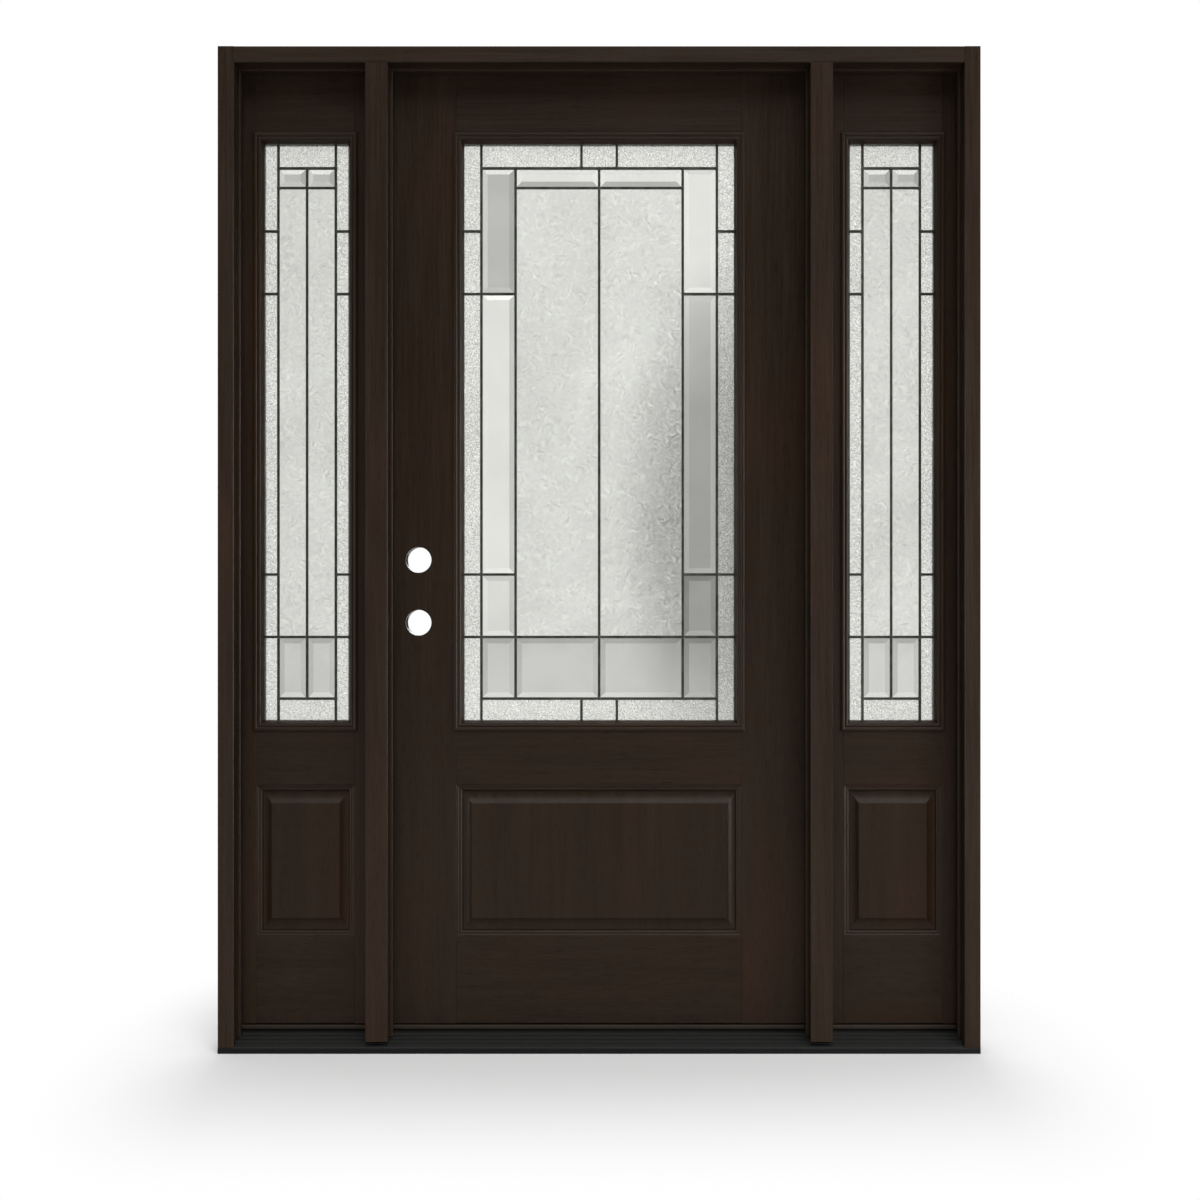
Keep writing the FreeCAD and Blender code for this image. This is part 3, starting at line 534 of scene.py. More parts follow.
class GeometryTree(NodeBuilder):
    """A Geometry Nodes tree with named inputs, run once on a mesh of its own."""

    def __init__(self, name: str) -> None:
        """Make a tree with a geometry input and output.

        Args:
            name: The tree's name.
        """
        super().__init__(bpy.data.node_groups.new(name, "GeometryNodeTree"))
        self.values: dict[str, Any] = {}
        self.add_socket("Geometry", "NodeSocketGeometry")
        self.tree.interface.new_socket("Geometry", in_out="OUTPUT", socket_type="NodeSocketGeometry")
        self.start = self.node("NodeGroupInput")
        self.end = self.node("NodeGroupOutput")

    def add_socket(self, name: str, kind: str) -> str:
        """Add an input and give its identifier."""
        return self.tree.interface.new_socket(name, in_out="INPUT", socket_type=kind).identifier

    def size(self, name: str, value: Any, kind: str = "NodeSocketFloat") -> NodeSocket:
        """Add a named input with the value that it is run with, and give the socket to link from."""
        self.values[self.add_socket(name, kind)] = value
        return self.start.outputs[name]

    def close(self, geometry: NodeSocket, material: Material) -> None:
        """End the tree: make the copies real and give them their material.

        Args:
            geometry: The last geometry socket.
            material: The finish of the result.
        """
        real = self.node("GeometryNodeRealizeInstances", {0: geometry}).outputs[0]
        finished = self.node("GeometryNodeSetMaterial", {"Geometry": real, "Material": material}).outputs[0]
        self.feed(self.end.inputs[0], finished)

    def run(self, mesh: Mesh) -> Mesh:
        """Run the tree on a mesh.

        Args:
            mesh: What it starts from.

        Returns:
            The result as a plain mesh.
        """
        holder = add_object("holder", mesh)
        modifier = holder.modifiers.new("tree", "NODES")
        modifier.node_group = self.tree
        for identifier, value in self.values.items():
            modifier[identifier] = value
        view = bpy.context.evaluated_depsgraph_get()
        result = bpy.data.meshes.new_from_object(holder.evaluated_get(view))
        bpy.data.objects.remove(holder)
        return result


def points_mesh(points: Sequence[Vector], facings: Sequence[Vector]) -> Mesh:
    """Loose points that each know which way they face.

    Args:
        points: Their places.
        facings: The direction that each one faces.

    Returns:
        A mesh with no faces.
    """
    mesh = bpy.data.meshes.new("points")
    mesh.from_pydata([tuple(point) for point in points], [], [])
    facing = mesh.attributes.new("facing", "FLOAT_VECTOR", "POINT")
    facing.data.foreach_set("vector", np.array([tuple(way) for way in facings], np.float32).ravel())
    return mesh


@dataclass(frozen=True)
class Fastener:
    """A small turned head about +Z that is set at each of a row of points."""

    radius: float
    rise: float
    recess: float = 0.0
    sides: int = 20
    dome: bool = False

    def head(self) -> Mesh:
        """Turn the head: a skirt in the surface, a rounded rim, and a cross recess or a dome.

        Returns:
            A closed mesh with its seat at z = 0.
        """
        shape = bmesh.new()
        rings = []
        for share, height in DOME_PROFILE if self.dome else SCREW_PROFILE:
            rings.append([
                shape.verts.new((
                    self.radius * share * math.cos(math.tau * turn / self.sides),
                    self.radius * share * math.sin(math.tau * turn / self.sides),
                    self.rise * height,
                ))
                for turn in range(self.sides)
            ])
        for low, high in zip(rings, rings[1:]):
            for turn in range(self.sides):
                after = (turn + 1) % self.sides
                shape.faces.new((low[turn], low[after], high[after], high[turn]))
        shape.faces.new(list(reversed(rings[0])))
        if self.recess:
            self.cut_cross(shape, rings[-1])
        else:
            shape.faces.new(rings[-1])
        bmesh.ops.recalc_face_normals(shape, faces=shape.faces)
        mesh = bpy.data.meshes.new("fastener_head")
        shape.to_mesh(mesh)
        shape.free()
        return mesh

    def cut_cross(self, shape: bmesh.types.BMesh, rim: list[bmesh.types.BMVert]) -> None:
        """Close the top with a cross-shaped recess.

        Args:
            shape: The head so far.
            rim: The top ring.
        """
        arm = self.radius * CROSS_ARM
        half = self.radius * CROSS_HALF
        narrow, deep = CROSS_FLOOR
        plan = [
            (arm, -half), (arm, half), (half, half), (half, arm), (-half, arm), (-half, half),
            (-arm, half), (-arm, -half), (-half, -half), (-half, -arm), (half, -arm), (half, -half),
        ]
        top = [shape.verts.new((x, y, self.rise)) for x, y in plan]
        floor = [shape.verts.new((x * narrow, y * deep, self.rise - self.recess)) for x, y in plan]
        edges = [shape.edges.new((a, b)) for a, b in zip(top, top[1:] + top[:1])]
        ring = [shape.edges.get((a, b)) for a, b in zip(rim, rim[1:] + rim[:1])]
        bmesh.ops.triangle_fill(shape, use_beauty=True, edges=edges + ring, normal=(0, 0, 1))
        for index, vert in enumerate(top):
            after = (index + 1) % len(top)
            shape.faces.new((vert, floor[index], floor[after], top[after]))
        shape.faces.new(floor)

    def set_at(
        self, name: str, points: Sequence[Vector], facings: Sequence[Vector], material: Material, seed: int
    ) -> Mesh:
        """Set a head at each point, turned by chance about its own axis.

        Args:
            name: The name of the tree.
            points: Where the heads sit.
            facings: Which way each one faces.
            material: Their finish.
            seed: The seed of the chance turns.

        Returns:
            One mesh with every head.
        """
        template = add_object("fastener_template", self.head())
        tree = GeometryTree(name)
        head = tree.size("Head", template, "NodeSocketObject")
        chance = tree.size("Seed", seed, "NodeSocketInt")
        shape = tree.node("GeometryNodeObjectInfo", {"Object": head}).outputs["Geometry"]
        facing = tree.node(
            "GeometryNodeInputNamedAttribute", {"Name": "facing"}, data_type="FLOAT_VECTOR"
        ).outputs[0]
        aim = tree.node("FunctionNodeAlignRotationToVector", {"Vector": facing}, axis="Z").outputs[0]
        copies = tree.node(
            "GeometryNodeInstanceOnPoints",
            {"Points": tree.start.outputs["Geometry"], "Instance": shape, "Rotation": aim},
        ).outputs[0]
        turns = {"Seed": chance, 2: 0.0, 3: math.tau}
        angle = tree.node("FunctionNodeRandomValue", turns, data_type="FLOAT").outputs[1]
        spin = tree.node("ShaderNodeCombineXYZ", {"Z": angle}).outputs[0]
        turned = tree.node("GeometryNodeRotateInstances", {"Instances": copies, "Rotation": spin})
        tree.close(turned.outputs[0], material)
        result = tree.run(points_mesh(points, facings))
        bpy.data.objects.remove(template)
        return result


@dataclass(frozen=True)
class Pane:
    """One piece of glass: its box, and what kind of glass it is."""

    low: Vector
    high: Vector
    cut: Cut

    @property
    def corners(self) -> list[Pair]:
        """The pane's four corners across and up."""
        return [(x, z) for x in (self.low.x, self.high.x) for z in (self.low.z, self.high.z)]


@dataclass(frozen=True)
class PaintedBevelLight:
    """Painted light: how bright the field and the four facets of a bevelled pane are painted, from 0 to 1.
    """

    field: float
    left: float
    right: float
    top: float
    bottom: float


@dataclass(frozen=True)
class Roll:
    """The relief rolled into one kind of glass: its grid step, its bumps in a metre and their height."""

    step: float
    bumps: float
    height: float


@dataclass
class LeadedLight:
    """Panes of textured and bevelled glass in a lattice of lead."""

    leaf: str
    body: str
    palette: Palette
    thick_pane: float = 4.5 * MM
    tall_pane: float = 700 * MM
    pane_thickness: float = 3.2 * MM
    came_ledge: float = 1.85 * MM
    bevel_width: float = 10.5 * MM
    joint_reach: float = 5 * MM
    joint_radius: float = 4.3 * MM
    joint_rise: float = 0.7 * MM
    hidden_edge: float = 9 * MM
    lower_panes: float = 1.05
    base_row: float = 0.855
    header_pane: float = 120 * MM
    right_column: float = 100 * MM
    long_bevel: float = 400 * MM
    rolls: dict[Cut, Roll] = field(
        default_factory=lambda: {
            Cut.GRANITE: Roll(2.4 * MM, 170.0, 0.9 * MM),
            Cut.RIPPLE: Roll(4.0 * MM, 42.0, 1.6 * MM),
        }
    )
    panes: list[Pane] = field(default_factory=list)

    def build(self) -> None:
        """Make the glass and the soldered joints, and dress the lead."""
        self.read_panes()
        dress(f"{self.leaf}_cames", self.palette.lead)
        self.build_glass()
        self.build_joints()

    def read_panes(self) -> None:
        """Take each pane's place from the CAD glass, and tell its kind by its thickness and height."""
        for low, high in islands(f"{self.leaf}_glass"):
            cut = Cut.RIPPLE if high.z - low.z > self.tall_pane else Cut.GRANITE
            if high.y - low.y > self.thick_pane:
                cut = Cut.BEVEL
            self.panes.append(Pane(low, high, cut))

    def rolled_blanks(self, cut: Cut) -> Mesh:
        """Flat panes of one kind, with a fine grid on the outside face for the relief.

        Args:
            cut: The kind of glass.

        Returns:
            A mesh whose points say how far the relief may move them.
        """
        step = self.rolls[cut].step
        points: list[Triple] = []
        faces: list[tuple[int, ...]] = []
        moves: list[float] = []
        for pane in (pane for pane in self.panes if pane.cut is cut):
            across = max(2, round((pane.high.x - pane.low.x) / step)) + 1
            up = max(2, round((pane.high.z - pane.low.z) / step)) + 1
            first = len(points)
            for z in np.linspace(pane.low.z, pane.high.z, up):
                for x in np.linspace(pane.low.x, pane.high.x, across):
                    inside = pane.low.x < x < pane.high.x and pane.low.z < z < pane.high.z
                    points.append((float(x), pane.low.y, float(z)))
                    moves.append(1.0 if inside else 0.0)
            for row in range(up - 1):
                for column in range(across - 1):
                    corner = first + row * across + column
                    faces.append((corner, corner + 1, corner + across + 1, corner + across))
            rim = [first + column for column in range(across)]
            rim += [first + row * across + across - 1 for row in range(1, up)]
            rim += [first + (up - 1) * across + column for column in reversed(range(across - 1))]
            rim += [first + row * across for row in reversed(range(1, up - 1))]
            back = len(points)
            for index in rim:
                points.append((points[index][0], pane.high.y, points[index][2]))
                moves.append(0.0)
            count = len(rim)
            for place in range(count):
                after = (place + 1) % count
                faces.append((rim[after], rim[place], back + place, back + after))
            faces.append(tuple(back + place for place in reversed(range(count))))
        mesh = bpy.data.meshes.new("rolled_blanks")
        mesh.from_pydata(points, [], faces)
        relief = mesh.attributes.new("relief", "FLOAT", "POINT")
        relief.data.foreach_set("value", np.array(moves, np.float32))
        return mesh

    def rolled(self, cut: Cut) -> Mesh:
        """Roll a relief into the panes of one kind.

        Args:
            cut: The kind of glass.

        Returns:
            The panes with their relief.
        """
        tree = GeometryTree(f"{cut.name.lower()}_relief")
        bumps = tree.size("Bumps in a metre", self.rolls[cut].bumps)
        depth = tree.size("Relief", self.rolls[cut].height)
        place = tree.node("GeometryNodeInputPosition").outputs[0]
        named = tree.node("GeometryNodeInputNamedAttribute", {"Name": "relief"}, data_type="FLOAT")
        share = named.outputs[0]
        broad = tree.noise(place, bumps, 2.0, 0.6)
        swell = tree.maths("MULTIPLY", tree.maths("SUBTRACT", broad, 0.5), depth)
        moved = tree.maths("MULTIPLY", swell, share)
        offset = tree.node("ShaderNodeCombineXYZ", {"Y": moved}).outputs[0]
        raised = tree.node(
            "GeometryNodeSetPosition", {"Geometry": tree.start.outputs["Geometry"], "Offset": offset}
        ).outputs[0]
        tree.close(raised, self.palette.glass[cut])
        return tree.run(self.rolled_blanks(cut))

    def tones(self, pane: Pane) -> PaintedBevelLight:
        """Painted light: how bright a bevelled pane's field and facets are painted, for the light that each
        would bend in from another side.

        Args:
            pane: The pane.

        Returns:
            Its tones.
        """
        middle = (pane.low + pane.high) / 2
        if middle.z < self.lower_panes:
            on_right = middle.x > self.right_column
            if middle.z > self.base_row and self.leaf == "door" and not on_right:
                return PaintedBevelLight(field=0.76, left=0.9, right=0.4, top=0.5, bottom=0.9)
            return PaintedBevelLight(field=0.62 if on_right else 0.54, left=0.3, right=0.4, top=0.24, bottom=0.85)
        if pane.high.x - pane.low.x > self.header_pane:
            return PaintedBevelLight(field=0.88, left=0.96, right=0.96, top=0.36, bottom=0.12)
        if pane.high.z - pane.low.z > self.long_bevel:
            if middle.x > 0:
                return PaintedBevelLight(field=0.7, left=1.0, right=1.0, top=0.3, bottom=0.9)
            return PaintedBevelLight(field=0.84, left=0.9, right=0.42, top=0.97, bottom=0.97)
        if middle.x > self.right_column and self.leaf == "door":
            return PaintedBevelLight(field=0.88, left=1.0, right=0.95, top=0.24, bottom=1.0)
        return PaintedBevelLight(field=0.46, left=0.8, right=0.26, top=0.76, bottom=0.5)

    def add_bevel(self, shape: bmesh.types.BMesh, pane: Pane, tone: bmesh.types.BMLayerItem) -> None:
        """Grind one bevelled pane.

        Args:
            shape: The mesh that it goes into.
            pane: The pane.
            tone: The layer that holds each facet's tone.
        """
        seat = pane.high.y - self.pane_thickness
        insets = [
            (0.0, pane.high.y), (0.0, seat), (self.came_ledge, seat),
            (self.came_ledge + self.bevel_width, pane.low.y),
        ]
        rings = []
        for inset, depth in insets:
            rings.append([
                shape.verts.new((x, depth, z))
                for x, z in (
                    (pane.low.x + inset, pane.low.z + inset), (pane.high.x - inset, pane.low.z + inset),
                    (pane.high.x - inset, pane.high.z - inset), (pane.low.x + inset, pane.high.z - inset),
                )
            ])
        tones = self.tones(pane)
        sides = (tones.bottom, tones.right, tones.top, tones.left)
        facet_level = len(rings) - 2
        for level, (outer, inner) in enumerate(zip(rings, rings[1:])):
            for side, side_tone in enumerate(sides):
                after = (side + 1) % len(sides)
                facet = shape.faces.new((outer[side], outer[after], inner[after], inner[side]))
                facet.material_index = Cut.BEVEL.value
                facet[tone] = side_tone if level == facet_level else tones.field
        for ring in (list(reversed(rings[0])), rings[-1]):
            face = shape.faces.new(ring)
            face.material_index = Cut.BEVEL.value
            face[tone] = tones.field

    def build_glass(self) -> None:
        """Join the rolled and the bevelled panes into the piece that stands for the CAD glass."""
        shape = bmesh.new()
        # Painted light: each bevelled facet's painted brightness is kept in this layer.
        tone = shape.faces.layers.float.new("tone")
        for cut in self.rolls:
            done = len(shape.faces)
            rolled = self.rolled(cut)
            shape.from_mesh(rolled)
            shape.faces.ensure_lookup_table()
            for face in shape.faces[done:]:
                face.material_index = cut.value
                face.smooth = len(face.verts) == 4 and abs(face.normal.y) > 0.5
            bpy.data.meshes.remove(rolled)
        for pane in self.panes:
            if pane.cut is Cut.BEVEL:
                self.add_bevel(shape, pane, tone)
        mesh = bpy.data.meshes.new("panes")
        shape.to_mesh(mesh)
        shape.free()
        for cut in Cut:
            mesh.materials.append(self.palette.glass[cut])
        piece = shell_from(f"{self.leaf}_leaded_panes", mesh, self.body)
        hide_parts(f"{self.leaf}_glass")

    def joint_places(self) -> list[Pair]:
        """Where leads meet: the middle of each cluster of pane corners that shows in the light.

        Returns:
            Each joint's place across and up.
        """
        low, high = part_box(f"{self.leaf}_cames")
        edge = self.hidden_edge
        clusters: list[list[Pair]] = []
        for corner in (corner for pane in self.panes for corner in pane.corners):
            near = next((c for c in clusters if math.dist(c[0], corner) < self.joint_reach), None)
            if near is None:
                clusters.append([corner])
            else:
                near.append(corner)
        places = [tuple(np.mean(cluster, axis=0)) for cluster in clusters]
        return [
            (x, z) for x, z in places
            if low.x + edge < x < high.x - edge and low.z + edge < z < high.z - edge
        ]

    def build_joints(self) -> None:
        """Solder each joint on both faces of the lead."""
        low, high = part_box(f"{self.leaf}_cames")
        points, facings = [], []
        for x, z in self.joint_places():
            points += [Vector((x, low.y, z)), Vector((x, high.y, z))]
            facings += [Vector((0, -1, 0)), Vector((0, 1, 0))]
        bead = Fastener(self.joint_radius, self.joint_rise, sides=12, dome=True)
        mesh = bead.set_at(f"{self.leaf}_solder", points, facings, self.palette.solder, seed=7)
        shell_from(f"{self.leaf}_solder_joints", mesh, self.body)


@dataclass
class Leaf:
    """A stile-and-rail leaf: the door or a sidelight."""

    name: str
    body: str
    stiles: tuple[str, str]
    palette: Palette

    def build(self) -> None:
        """Dress the timber and build the leaded light."""
        upright = self.palette.leaf[Grain.UPRIGHT]
        level = self.palette.leaf[Grain.LEVEL]
        for stile in self.stiles:
            dress(f"{self.name}_{stile}", upright)
        for rail in ("top_rail", "mid_rail", "bottom_rail"):
            dress(f"{self.name}_{rail}", level)
        dress(f"{self.name}_raised_panel", upright)
        for moulding in ("lite_frames", "panel_mouldings"):
            self.dress_mitred(f"{self.name}_{moulding}", upright, level)
        LeadedLight(self.name, self.body, self.palette).build()

    @staticmethod
    def dress_mitred(node: str, upright: Material, level: Material) -> None:
        """Turn the grain at the mitres of a moulding.

        Args:
            node: The moulding's node.
            upright: The finish of its sides.
            level: The finish of its head and foot.
        """
        low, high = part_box(node)
        mesh = dress(node, upright, level)
        for face in mesh.polygons:
            across = min(face.center.x - low.x, high.x - face.center.x)
            up = min(face.center.z - low.z, high.z - face.center.z)
            face.material_index = 0 if across < up else 1


@dataclass
class HingeSet:
    """Three butt hinges: their plates, screws and pin heads."""

    palette: Palette
    screw: Fastener = Fastener(4.4 * MM, 0.3 * MM, recess=1.1 * MM)
    pin_head: Fastener = Fastener(5.2 * MM, 3.4 * MM, dome=True)
    heights: tuple[float, ...] = (0.13, 0.38, 0.62, 0.87)
    cap_play: float = 0.5 * MM
    near_row: float = 9 * MM
    far_row: float = 20 * MM

    def build(self) -> None:
        """Dress the plates and set their screws and pin heads."""
        knuckles = islands("door_hinge_leaves")
        pins = islands("frame_hinge_leaves")
        for node in ("door_hinge_leaves", "frame_hinge_leaves"):
            dress(node, self.palette.hinge)
        door_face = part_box("door_hinge_stile")[1].x
        post_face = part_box("door_sill_cap")[1].x + self.cap_play
        self.set_screws("door", knuckles, door_face, Vector((1, 0, 0)))
        self.set_screws("frame", knuckles, post_face, Vector((-1, 0, 0)))
        points, facings = [], []
        for (low, high), (plate_low, plate_high) in zip(pins, knuckles):
            axis = (low.x + high.x) / 2, high.y - (high.x - low.x) / 2
            points += [Vector((*axis, plate_high.z)), Vector((*axis, plate_low.z))]
            facings += [Vector((0, 0, 1)), Vector((0, 0, -1))]
        mesh = self.pin_head.set_at("hinge_pin_heads", points, facings, self.palette.hinge, seed=3)
        shell_from("hinge_pin_heads", mesh, "frame")

    def set_screws(
        self, body: str, plates: Sequence[tuple[Vector, Vector]], face: float, facing: Vector
    ) -> None:
        """Set four screws in each plate on one side.

        Args:
            body: The body that the plates ride on.
            plates: The box of each hinge.
            face: Where the plates' faces are, across.
            facing: Which way they face.
        """
        points = []
        for low, high in plates:
            for number, share in enumerate(self.heights):
                row = self.near_row if number % 2 else self.far_row
                points.append(Vector((face, low.y + row, low.z + (high.z - low.z) * share)))
        facings = [facing] * len(points)
        mesh = self.screw.set_at(f"{body}_screws", points, facings, self.palette.hinge, seed=11)
        shell_from(f"{body}_hinge_screws", mesh, body)


@dataclass
class OuterFrame:
    """Jambs, posts, head, sill and seals."""

    palette: Palette
    adjuster: Fastener = Fastener(4.6 * MM, 0.25 * MM, recess=1.0 * MM)
    adjusters: int = 4
    adjuster_margin: float = 80 * MM
    adjuster_depth: float = 19.75 * MM
    # Faces that point up more than this keep the tread's own colour; the steeper ones get the painted shade.
    lit_top_normal: float = 0.6
    nose_depth: float = 4 * MM

    def build(self) -> None:
        """Dress every piece of the frame."""
        for upright in ("left_jamb", "right_jamb", "left_post", "right_post"):
            dress(upright, self.palette.case[Grain.UPRIGHT])
        dress("head_jamb", self.palette.case[Grain.LEVEL])
        self.dress_tread()
        # Painted shade: the sill base's near-black finish stands for the shade beneath the cap.
        dress("sill_base", self.palette.base)
        for cap in ("door_sill_cap", "sidelight_sill_caps", "door_sweep"):
            dress(cap, self.palette.cap)
        for seal in ("door_weatherstrip", "left_sidelight_seal", "right_sidelight_seal"):
            dress(seal, self.palette.seal)
        self.set_adjusters()

    def dress_tread(self) -> None:
        """Give the tread's top faces its own colour, and its upright ridge faces and its nose darker copies
        of it as painted shade.
        """
        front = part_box("sill_tread")[0].y + self.nose_depth
        tread = dress("sill_tread", self.palette.tread, self.palette.tread_edge, self.palette.tread_shaded_nose)
        for face in tread.polygons:
            # Painted shade: the nose and the upright ridge faces take the darker copies of the finish.
            edge = 2 if face.center.y < front else 1
            face.material_index = 0 if face.normal.z > self.lit_top_normal else edge

    def set_adjusters(self) -> None:
        """Set the screws that level the door's sill cap."""
        low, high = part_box("door_sill_cap")
        places = np.linspace(low.x + self.adjuster_margin, high.x - self.adjuster_margin, self.adjusters)
        points = [Vector((float(x), low.y + self.adjuster_depth, high.z)) for x in places]
        up = [Vector((0, 0, 1))] * self.adjusters
        mesh = self.adjuster.set_at("sill_cap_adjusters", points, up, self.palette.adjuster, seed=5)
        shell_from("sill_cap_adjusters", mesh, "frame")


def sheet(name: str, corners: Sequence[Triple]) -> Object:
    """Add a flat sheet with four corners to the scene.

    Args:
        name: The sheet's name.
        corners: Its corners in order.

    Returns:
        The sheet.
    """
    mesh = bpy.data.meshes.new(name)
    mesh.from_pydata(corners, [], [(0, 1, 2, 3)])
    return add_object(name, mesh)


def hang(lamp: Light, place: Vector, aim: Vector) -> Object:
    """Hang a lamp in the scene.

    Args:
        lamp: The lamp.
        place: Where it hangs.
        aim: The way that it shines.

    Returns:
        The lamp's holder.
    """
    holder = add_object(lamp.name, lamp)
    holder.location = place
    holder.rotation_mode = "QUATERNION"
    holder.rotation_quaternion = aim.to_track_quat("-Z", "Y")
    return holder


@dataclass(frozen=True)
class Softbox:
    """A flat soft lamp that faces a point; a gloss-only one draws highlights and lights nothing else."""

    name: str
    place: Triple
    target: Triple
    size: Pair
    power: float
    gloss_only: bool = False

    def hang(self) -> None:
        """Add the lamp to the scene."""
        lamp = bpy.data.lights.new(self.name, "AREA")
        lamp.shape = "RECTANGLE"
        lamp.size, lamp.size_y = self.size
        lamp.energy = self.power
        holder = hang(lamp, Vector(self.place), Vector(self.target) - Vector(self.place))
        holder.visible_diffuse = not self.gloss_only
        holder.visible_transmission = False


@dataclass
class Studio:
    """A pale floor, soft light and the camera."""

    camera_place: Triple = (0.0018, -3.491, 0.935)
    lens: float = 50.0
    sensor: float = 36.0
    floor_half: float = 30.0
    floor_colour: Colour = (0.74, 0.74, 0.74, 1)
    footprint: Pair = (0.7, 0.05)
    floor_fade: Pair = (2.0, 1.0)
    near_white: float = 0.08
    far_white: float = 0.85
    ambient: float = 0.55
    front_glow: float = 0.05
    glow_turn: Pair = (-0.35, 0.25)
    key_strength: float = 2.1
    key_spread: float = 42.0
    key_distance: float = 6.0
    key_turn: Pair = (50.0, 12.0)
    softboxes: tuple[Softbox, ...] = (
        Softbox("side_fill", (2.3, -1.7, 1.2), (0.5, 0.0, 1.1), (0.5, 2.0), 11.0),
        Softbox("back_fill", (0.0, 4.2, 2.4), (0.0, 0.0, 1.0), (2.5, 1.5), 80.0),
        Softbox("right_gloss", (3.6, -1.7, 1.2), (0.0, 0.0, 1.1), (2.0, 2.6), 240.0, gloss_only=True),
        Softbox("left_gloss", (-3.6, -1.7, 1.2), (0.0, 0.0, 1.1), (2.0, 2.6), 95.0, gloss_only=True),
    )
    # Painted shade: a grey card seen only through the glass, darkening the door's right panes.
    flag_place: Triple = (0.28, 0.45, 1.12)
    flag_half: Pair = (0.27, 0.72)
    flag_tone: float = 0.42
    flag_fade: Pair = (0.35, 1.0)

    def build(self) -> None:
        """Set up the floor, the world, the lamps, the grey card and the camera."""
        scene = bpy.context.scene
        scene.view_settings.view_transform = "Standard"
        self.build_floor()
        self.build_world()
        self.hang_key()
        for softbox in self.softboxes:
            softbox.hang()
        self.hang_flag()
        camera = add_object("camera", bpy.data.cameras.new("camera"))
        camera.location = self.camera_place
        camera.rotation_euler = (math.pi / 2, 0.0, 0.0)
        camera.data.lens = self.lens
        camera.data.sensor_width = self.sensor
        scene.camera = camera

    def build_floor(self) -> None:
        """A wide floor that keeps the unit's shadow and goes to white further off."""
        half = self.floor_half
        corners = [(-half, -half, 0), (half, -half, 0), (half, half, 0), (-half, half, 0)]
        floor = sheet("studio_floor", corners)
        shader = ShaderBuilder("studio_floor")
        shader.finish(Base_Color=self.floor_colour, Roughness=0.7, Specular_IOR_Level=0.1)
        place = shader.node("ShaderNodeSeparateXYZ", {0: shader.place}).outputs
        gaps = []
        for axis, reach, quicker in zip("XY", self.footprint, self.floor_fade):
            beyond = shader.maths("SUBTRACT", shader.maths("ABSOLUTE", place[axis]), reach)
            gaps.append(shader.maths("MULTIPLY", shader.maths("MAXIMUM", beyond, 0.0), quicker))
        squares = shader.maths("ADD", *(shader.maths("MULTIPLY", gap, gap) for gap in gaps))
        far = shader.spread(shader.maths("SQRT", squares), self.near_white, self.far_white, 0.0, 1.0)
        glow = shader.node("ShaderNodeEmission", {"Color": (1, 1, 1, 1), "Strength": 1.0}).outputs[0]
        path = shader.node("ShaderNodeLightPath").outputs
        shown = shader.maths("MAXIMUM", self.seen(shader, path), path["Is Glossy Ray"])
        share = shader.maths("MULTIPLY", far, shown)
        self.blend(shader, share, shader.surface.outputs[0], glow)
        floor.data.materials.append(shader.material)

    @staticmethod
    def blend(shader: ShaderBuilder, share: Any, first: Any, second: Any) -> None:
        """Show a blend of two surfaces by the share of the second."""
        mixed = shader.node("ShaderNodeMixShader", {0: share, 1: first, 2: second}).outputs[0]
        shader.feed(shader.tree.nodes["Material Output"].inputs["Surface"], mixed)

    @staticmethod
    def seen(builder: NodeBuilder, path: Any) -> NodeSocket:
        """A number that is 1 on rays to the camera and through glass."""
        return builder.maths("MAXIMUM", path["Is Camera Ray"], path["Is Transmission Ray"])

    def build_world(self) -> None:
        """White to the camera and through glass, and softer as light on the unit."""
        world = bpy.data.worlds.new("studio")
        bpy.context.scene.world = world
        world.use_nodes = True
        builder = NodeBuilder(world.node_tree)
        path = builder.node("ShaderNodeLightPath").outputs
        way = builder.node("ShaderNodeTexCoord").outputs["Generated"]
        depth = builder.node("ShaderNodeSeparateXYZ", {0: way}).outputs["Y"]
        behind = builder.spread(depth, *self.glow_turn, self.front_glow, 1.0)
        gloss = builder.maths("MULTIPLY", path["Is Glossy Ray"], behind)
        seen = self.seen(builder, path)
        light = builder.maths("MULTIPLY", path["Is Diffuse Ray"], self.ambient)
        strength = builder.maths("MAXIMUM", builder.maths("MAXIMUM", seen, gloss), light)
        background = world.node_tree.nodes["Background"]
        background.inputs["Color"].default_value = (1, 1, 1, 1)
        builder.feed(background.inputs["Strength"], strength)

    def hang_key(self) -> None:
        """A broad even light from above, in front and a little to the right."""
        rise, turn = (math.radians(angle) for angle in self.key_turn)
        lamp = bpy.data.lights.new("key", "SUN")
        lamp.energy = self.key_strength
        lamp.angle = math.radians(self.key_spread)
        level = math.cos(rise)
        aim = Vector((-level * math.sin(turn), level * math.cos(turn), -math.sin(rise)))
        hang(lamp, -aim * self.key_distance, aim)

    def hang_flag(self) -> None:
        """A soft grey card behind the door that shows only through the glass: a painted shade that darkens
        the door's right panes where a dark reflection falls.
        """
        across, up = self.flag_half
        corners = [(-across, 0, -up), (across, 0, -up), (across, 0, up), (-across, 0, up)]
        card = sheet("grey_card", corners)
        card.location = self.flag_place
        shader = ShaderBuilder("grey_card")
        distance = shader.length(shader.stretched((1 / across, 0.0, 1 / up)))
        fade = shader.spread(distance, *self.flag_fade, 1.0, 0.0)
        light = {"Color": (1, 1, 1, 1), "Strength": self.flag_tone}
        grey = shader.node("ShaderNodeEmission", light).outputs[0]
        clear = shader.node("ShaderNodeBsdfTransparent").outputs[0]
        self.blend(shader, fade, clear, grey)
        card.data.materials.append(shader.material)
        card.visible_camera = False
        card.visible_diffuse = False
        card.visible_glossy = False
        card.visible_shadow = False


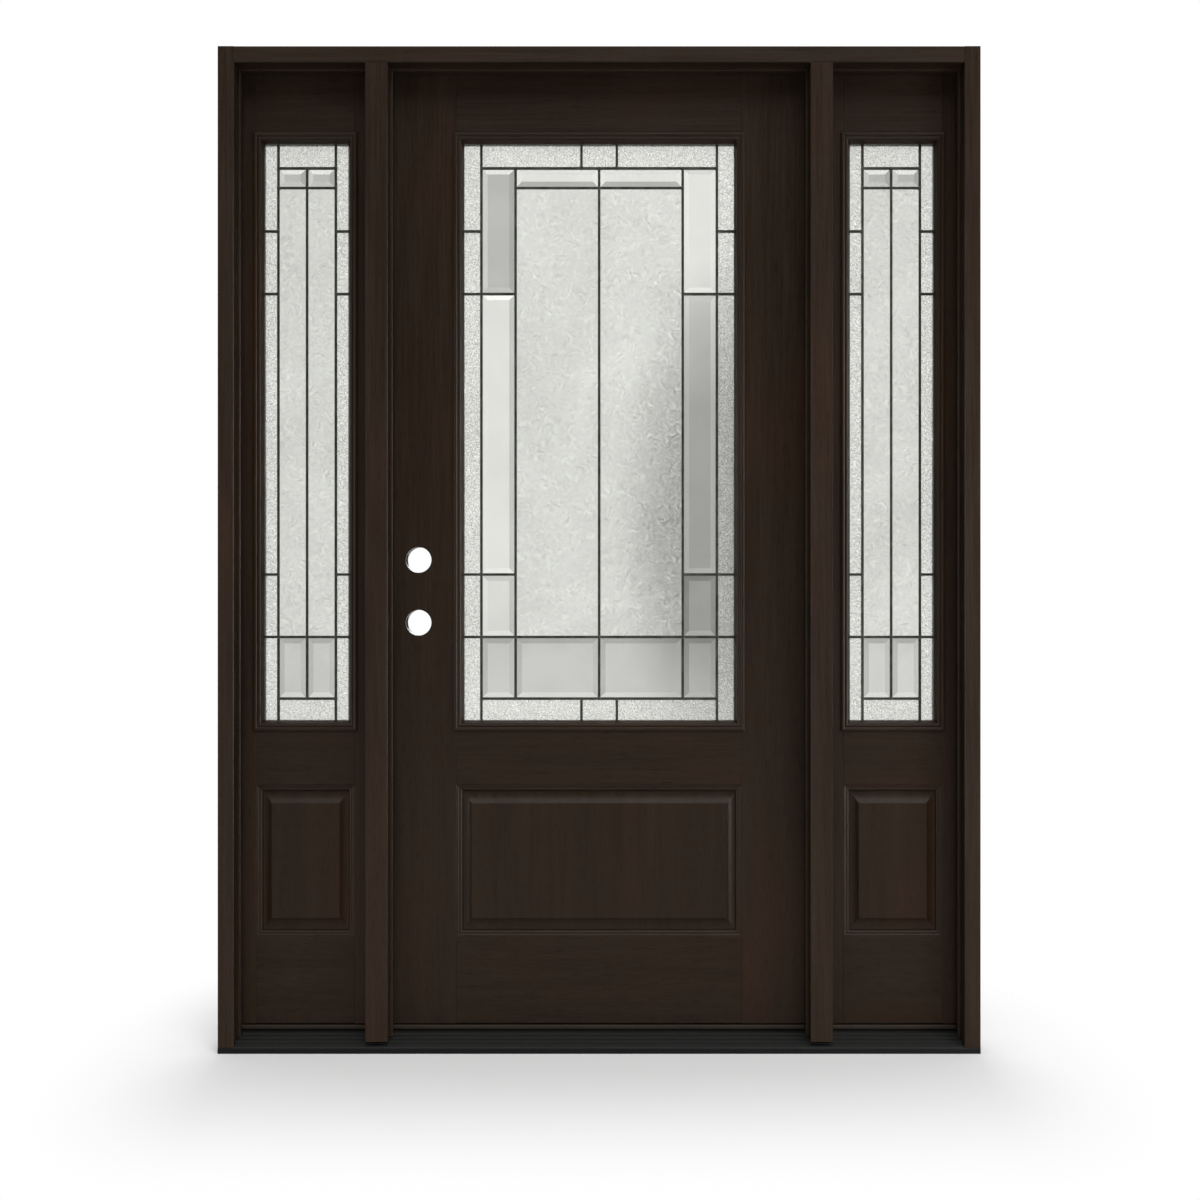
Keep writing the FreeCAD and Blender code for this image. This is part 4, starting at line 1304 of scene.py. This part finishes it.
def main() -> None:
    """Dress the unit from the frame inwards and set up the studio."""
    logging.basicConfig(level=logging.INFO, format="%(message)s")
    palette = Palette()
    OuterFrame(palette).build()
    for side in ("left", "right"):
        Leaf(f"{side}_sidelight", "frame", ("outer_stile", "inner_stile"), palette).build()
    Leaf("door", "door", ("lock_stile", "hinge_stile"), palette).build()
    HingeSet(palette).build()
    Studio().build()


if __name__ == "__main__":
    main()
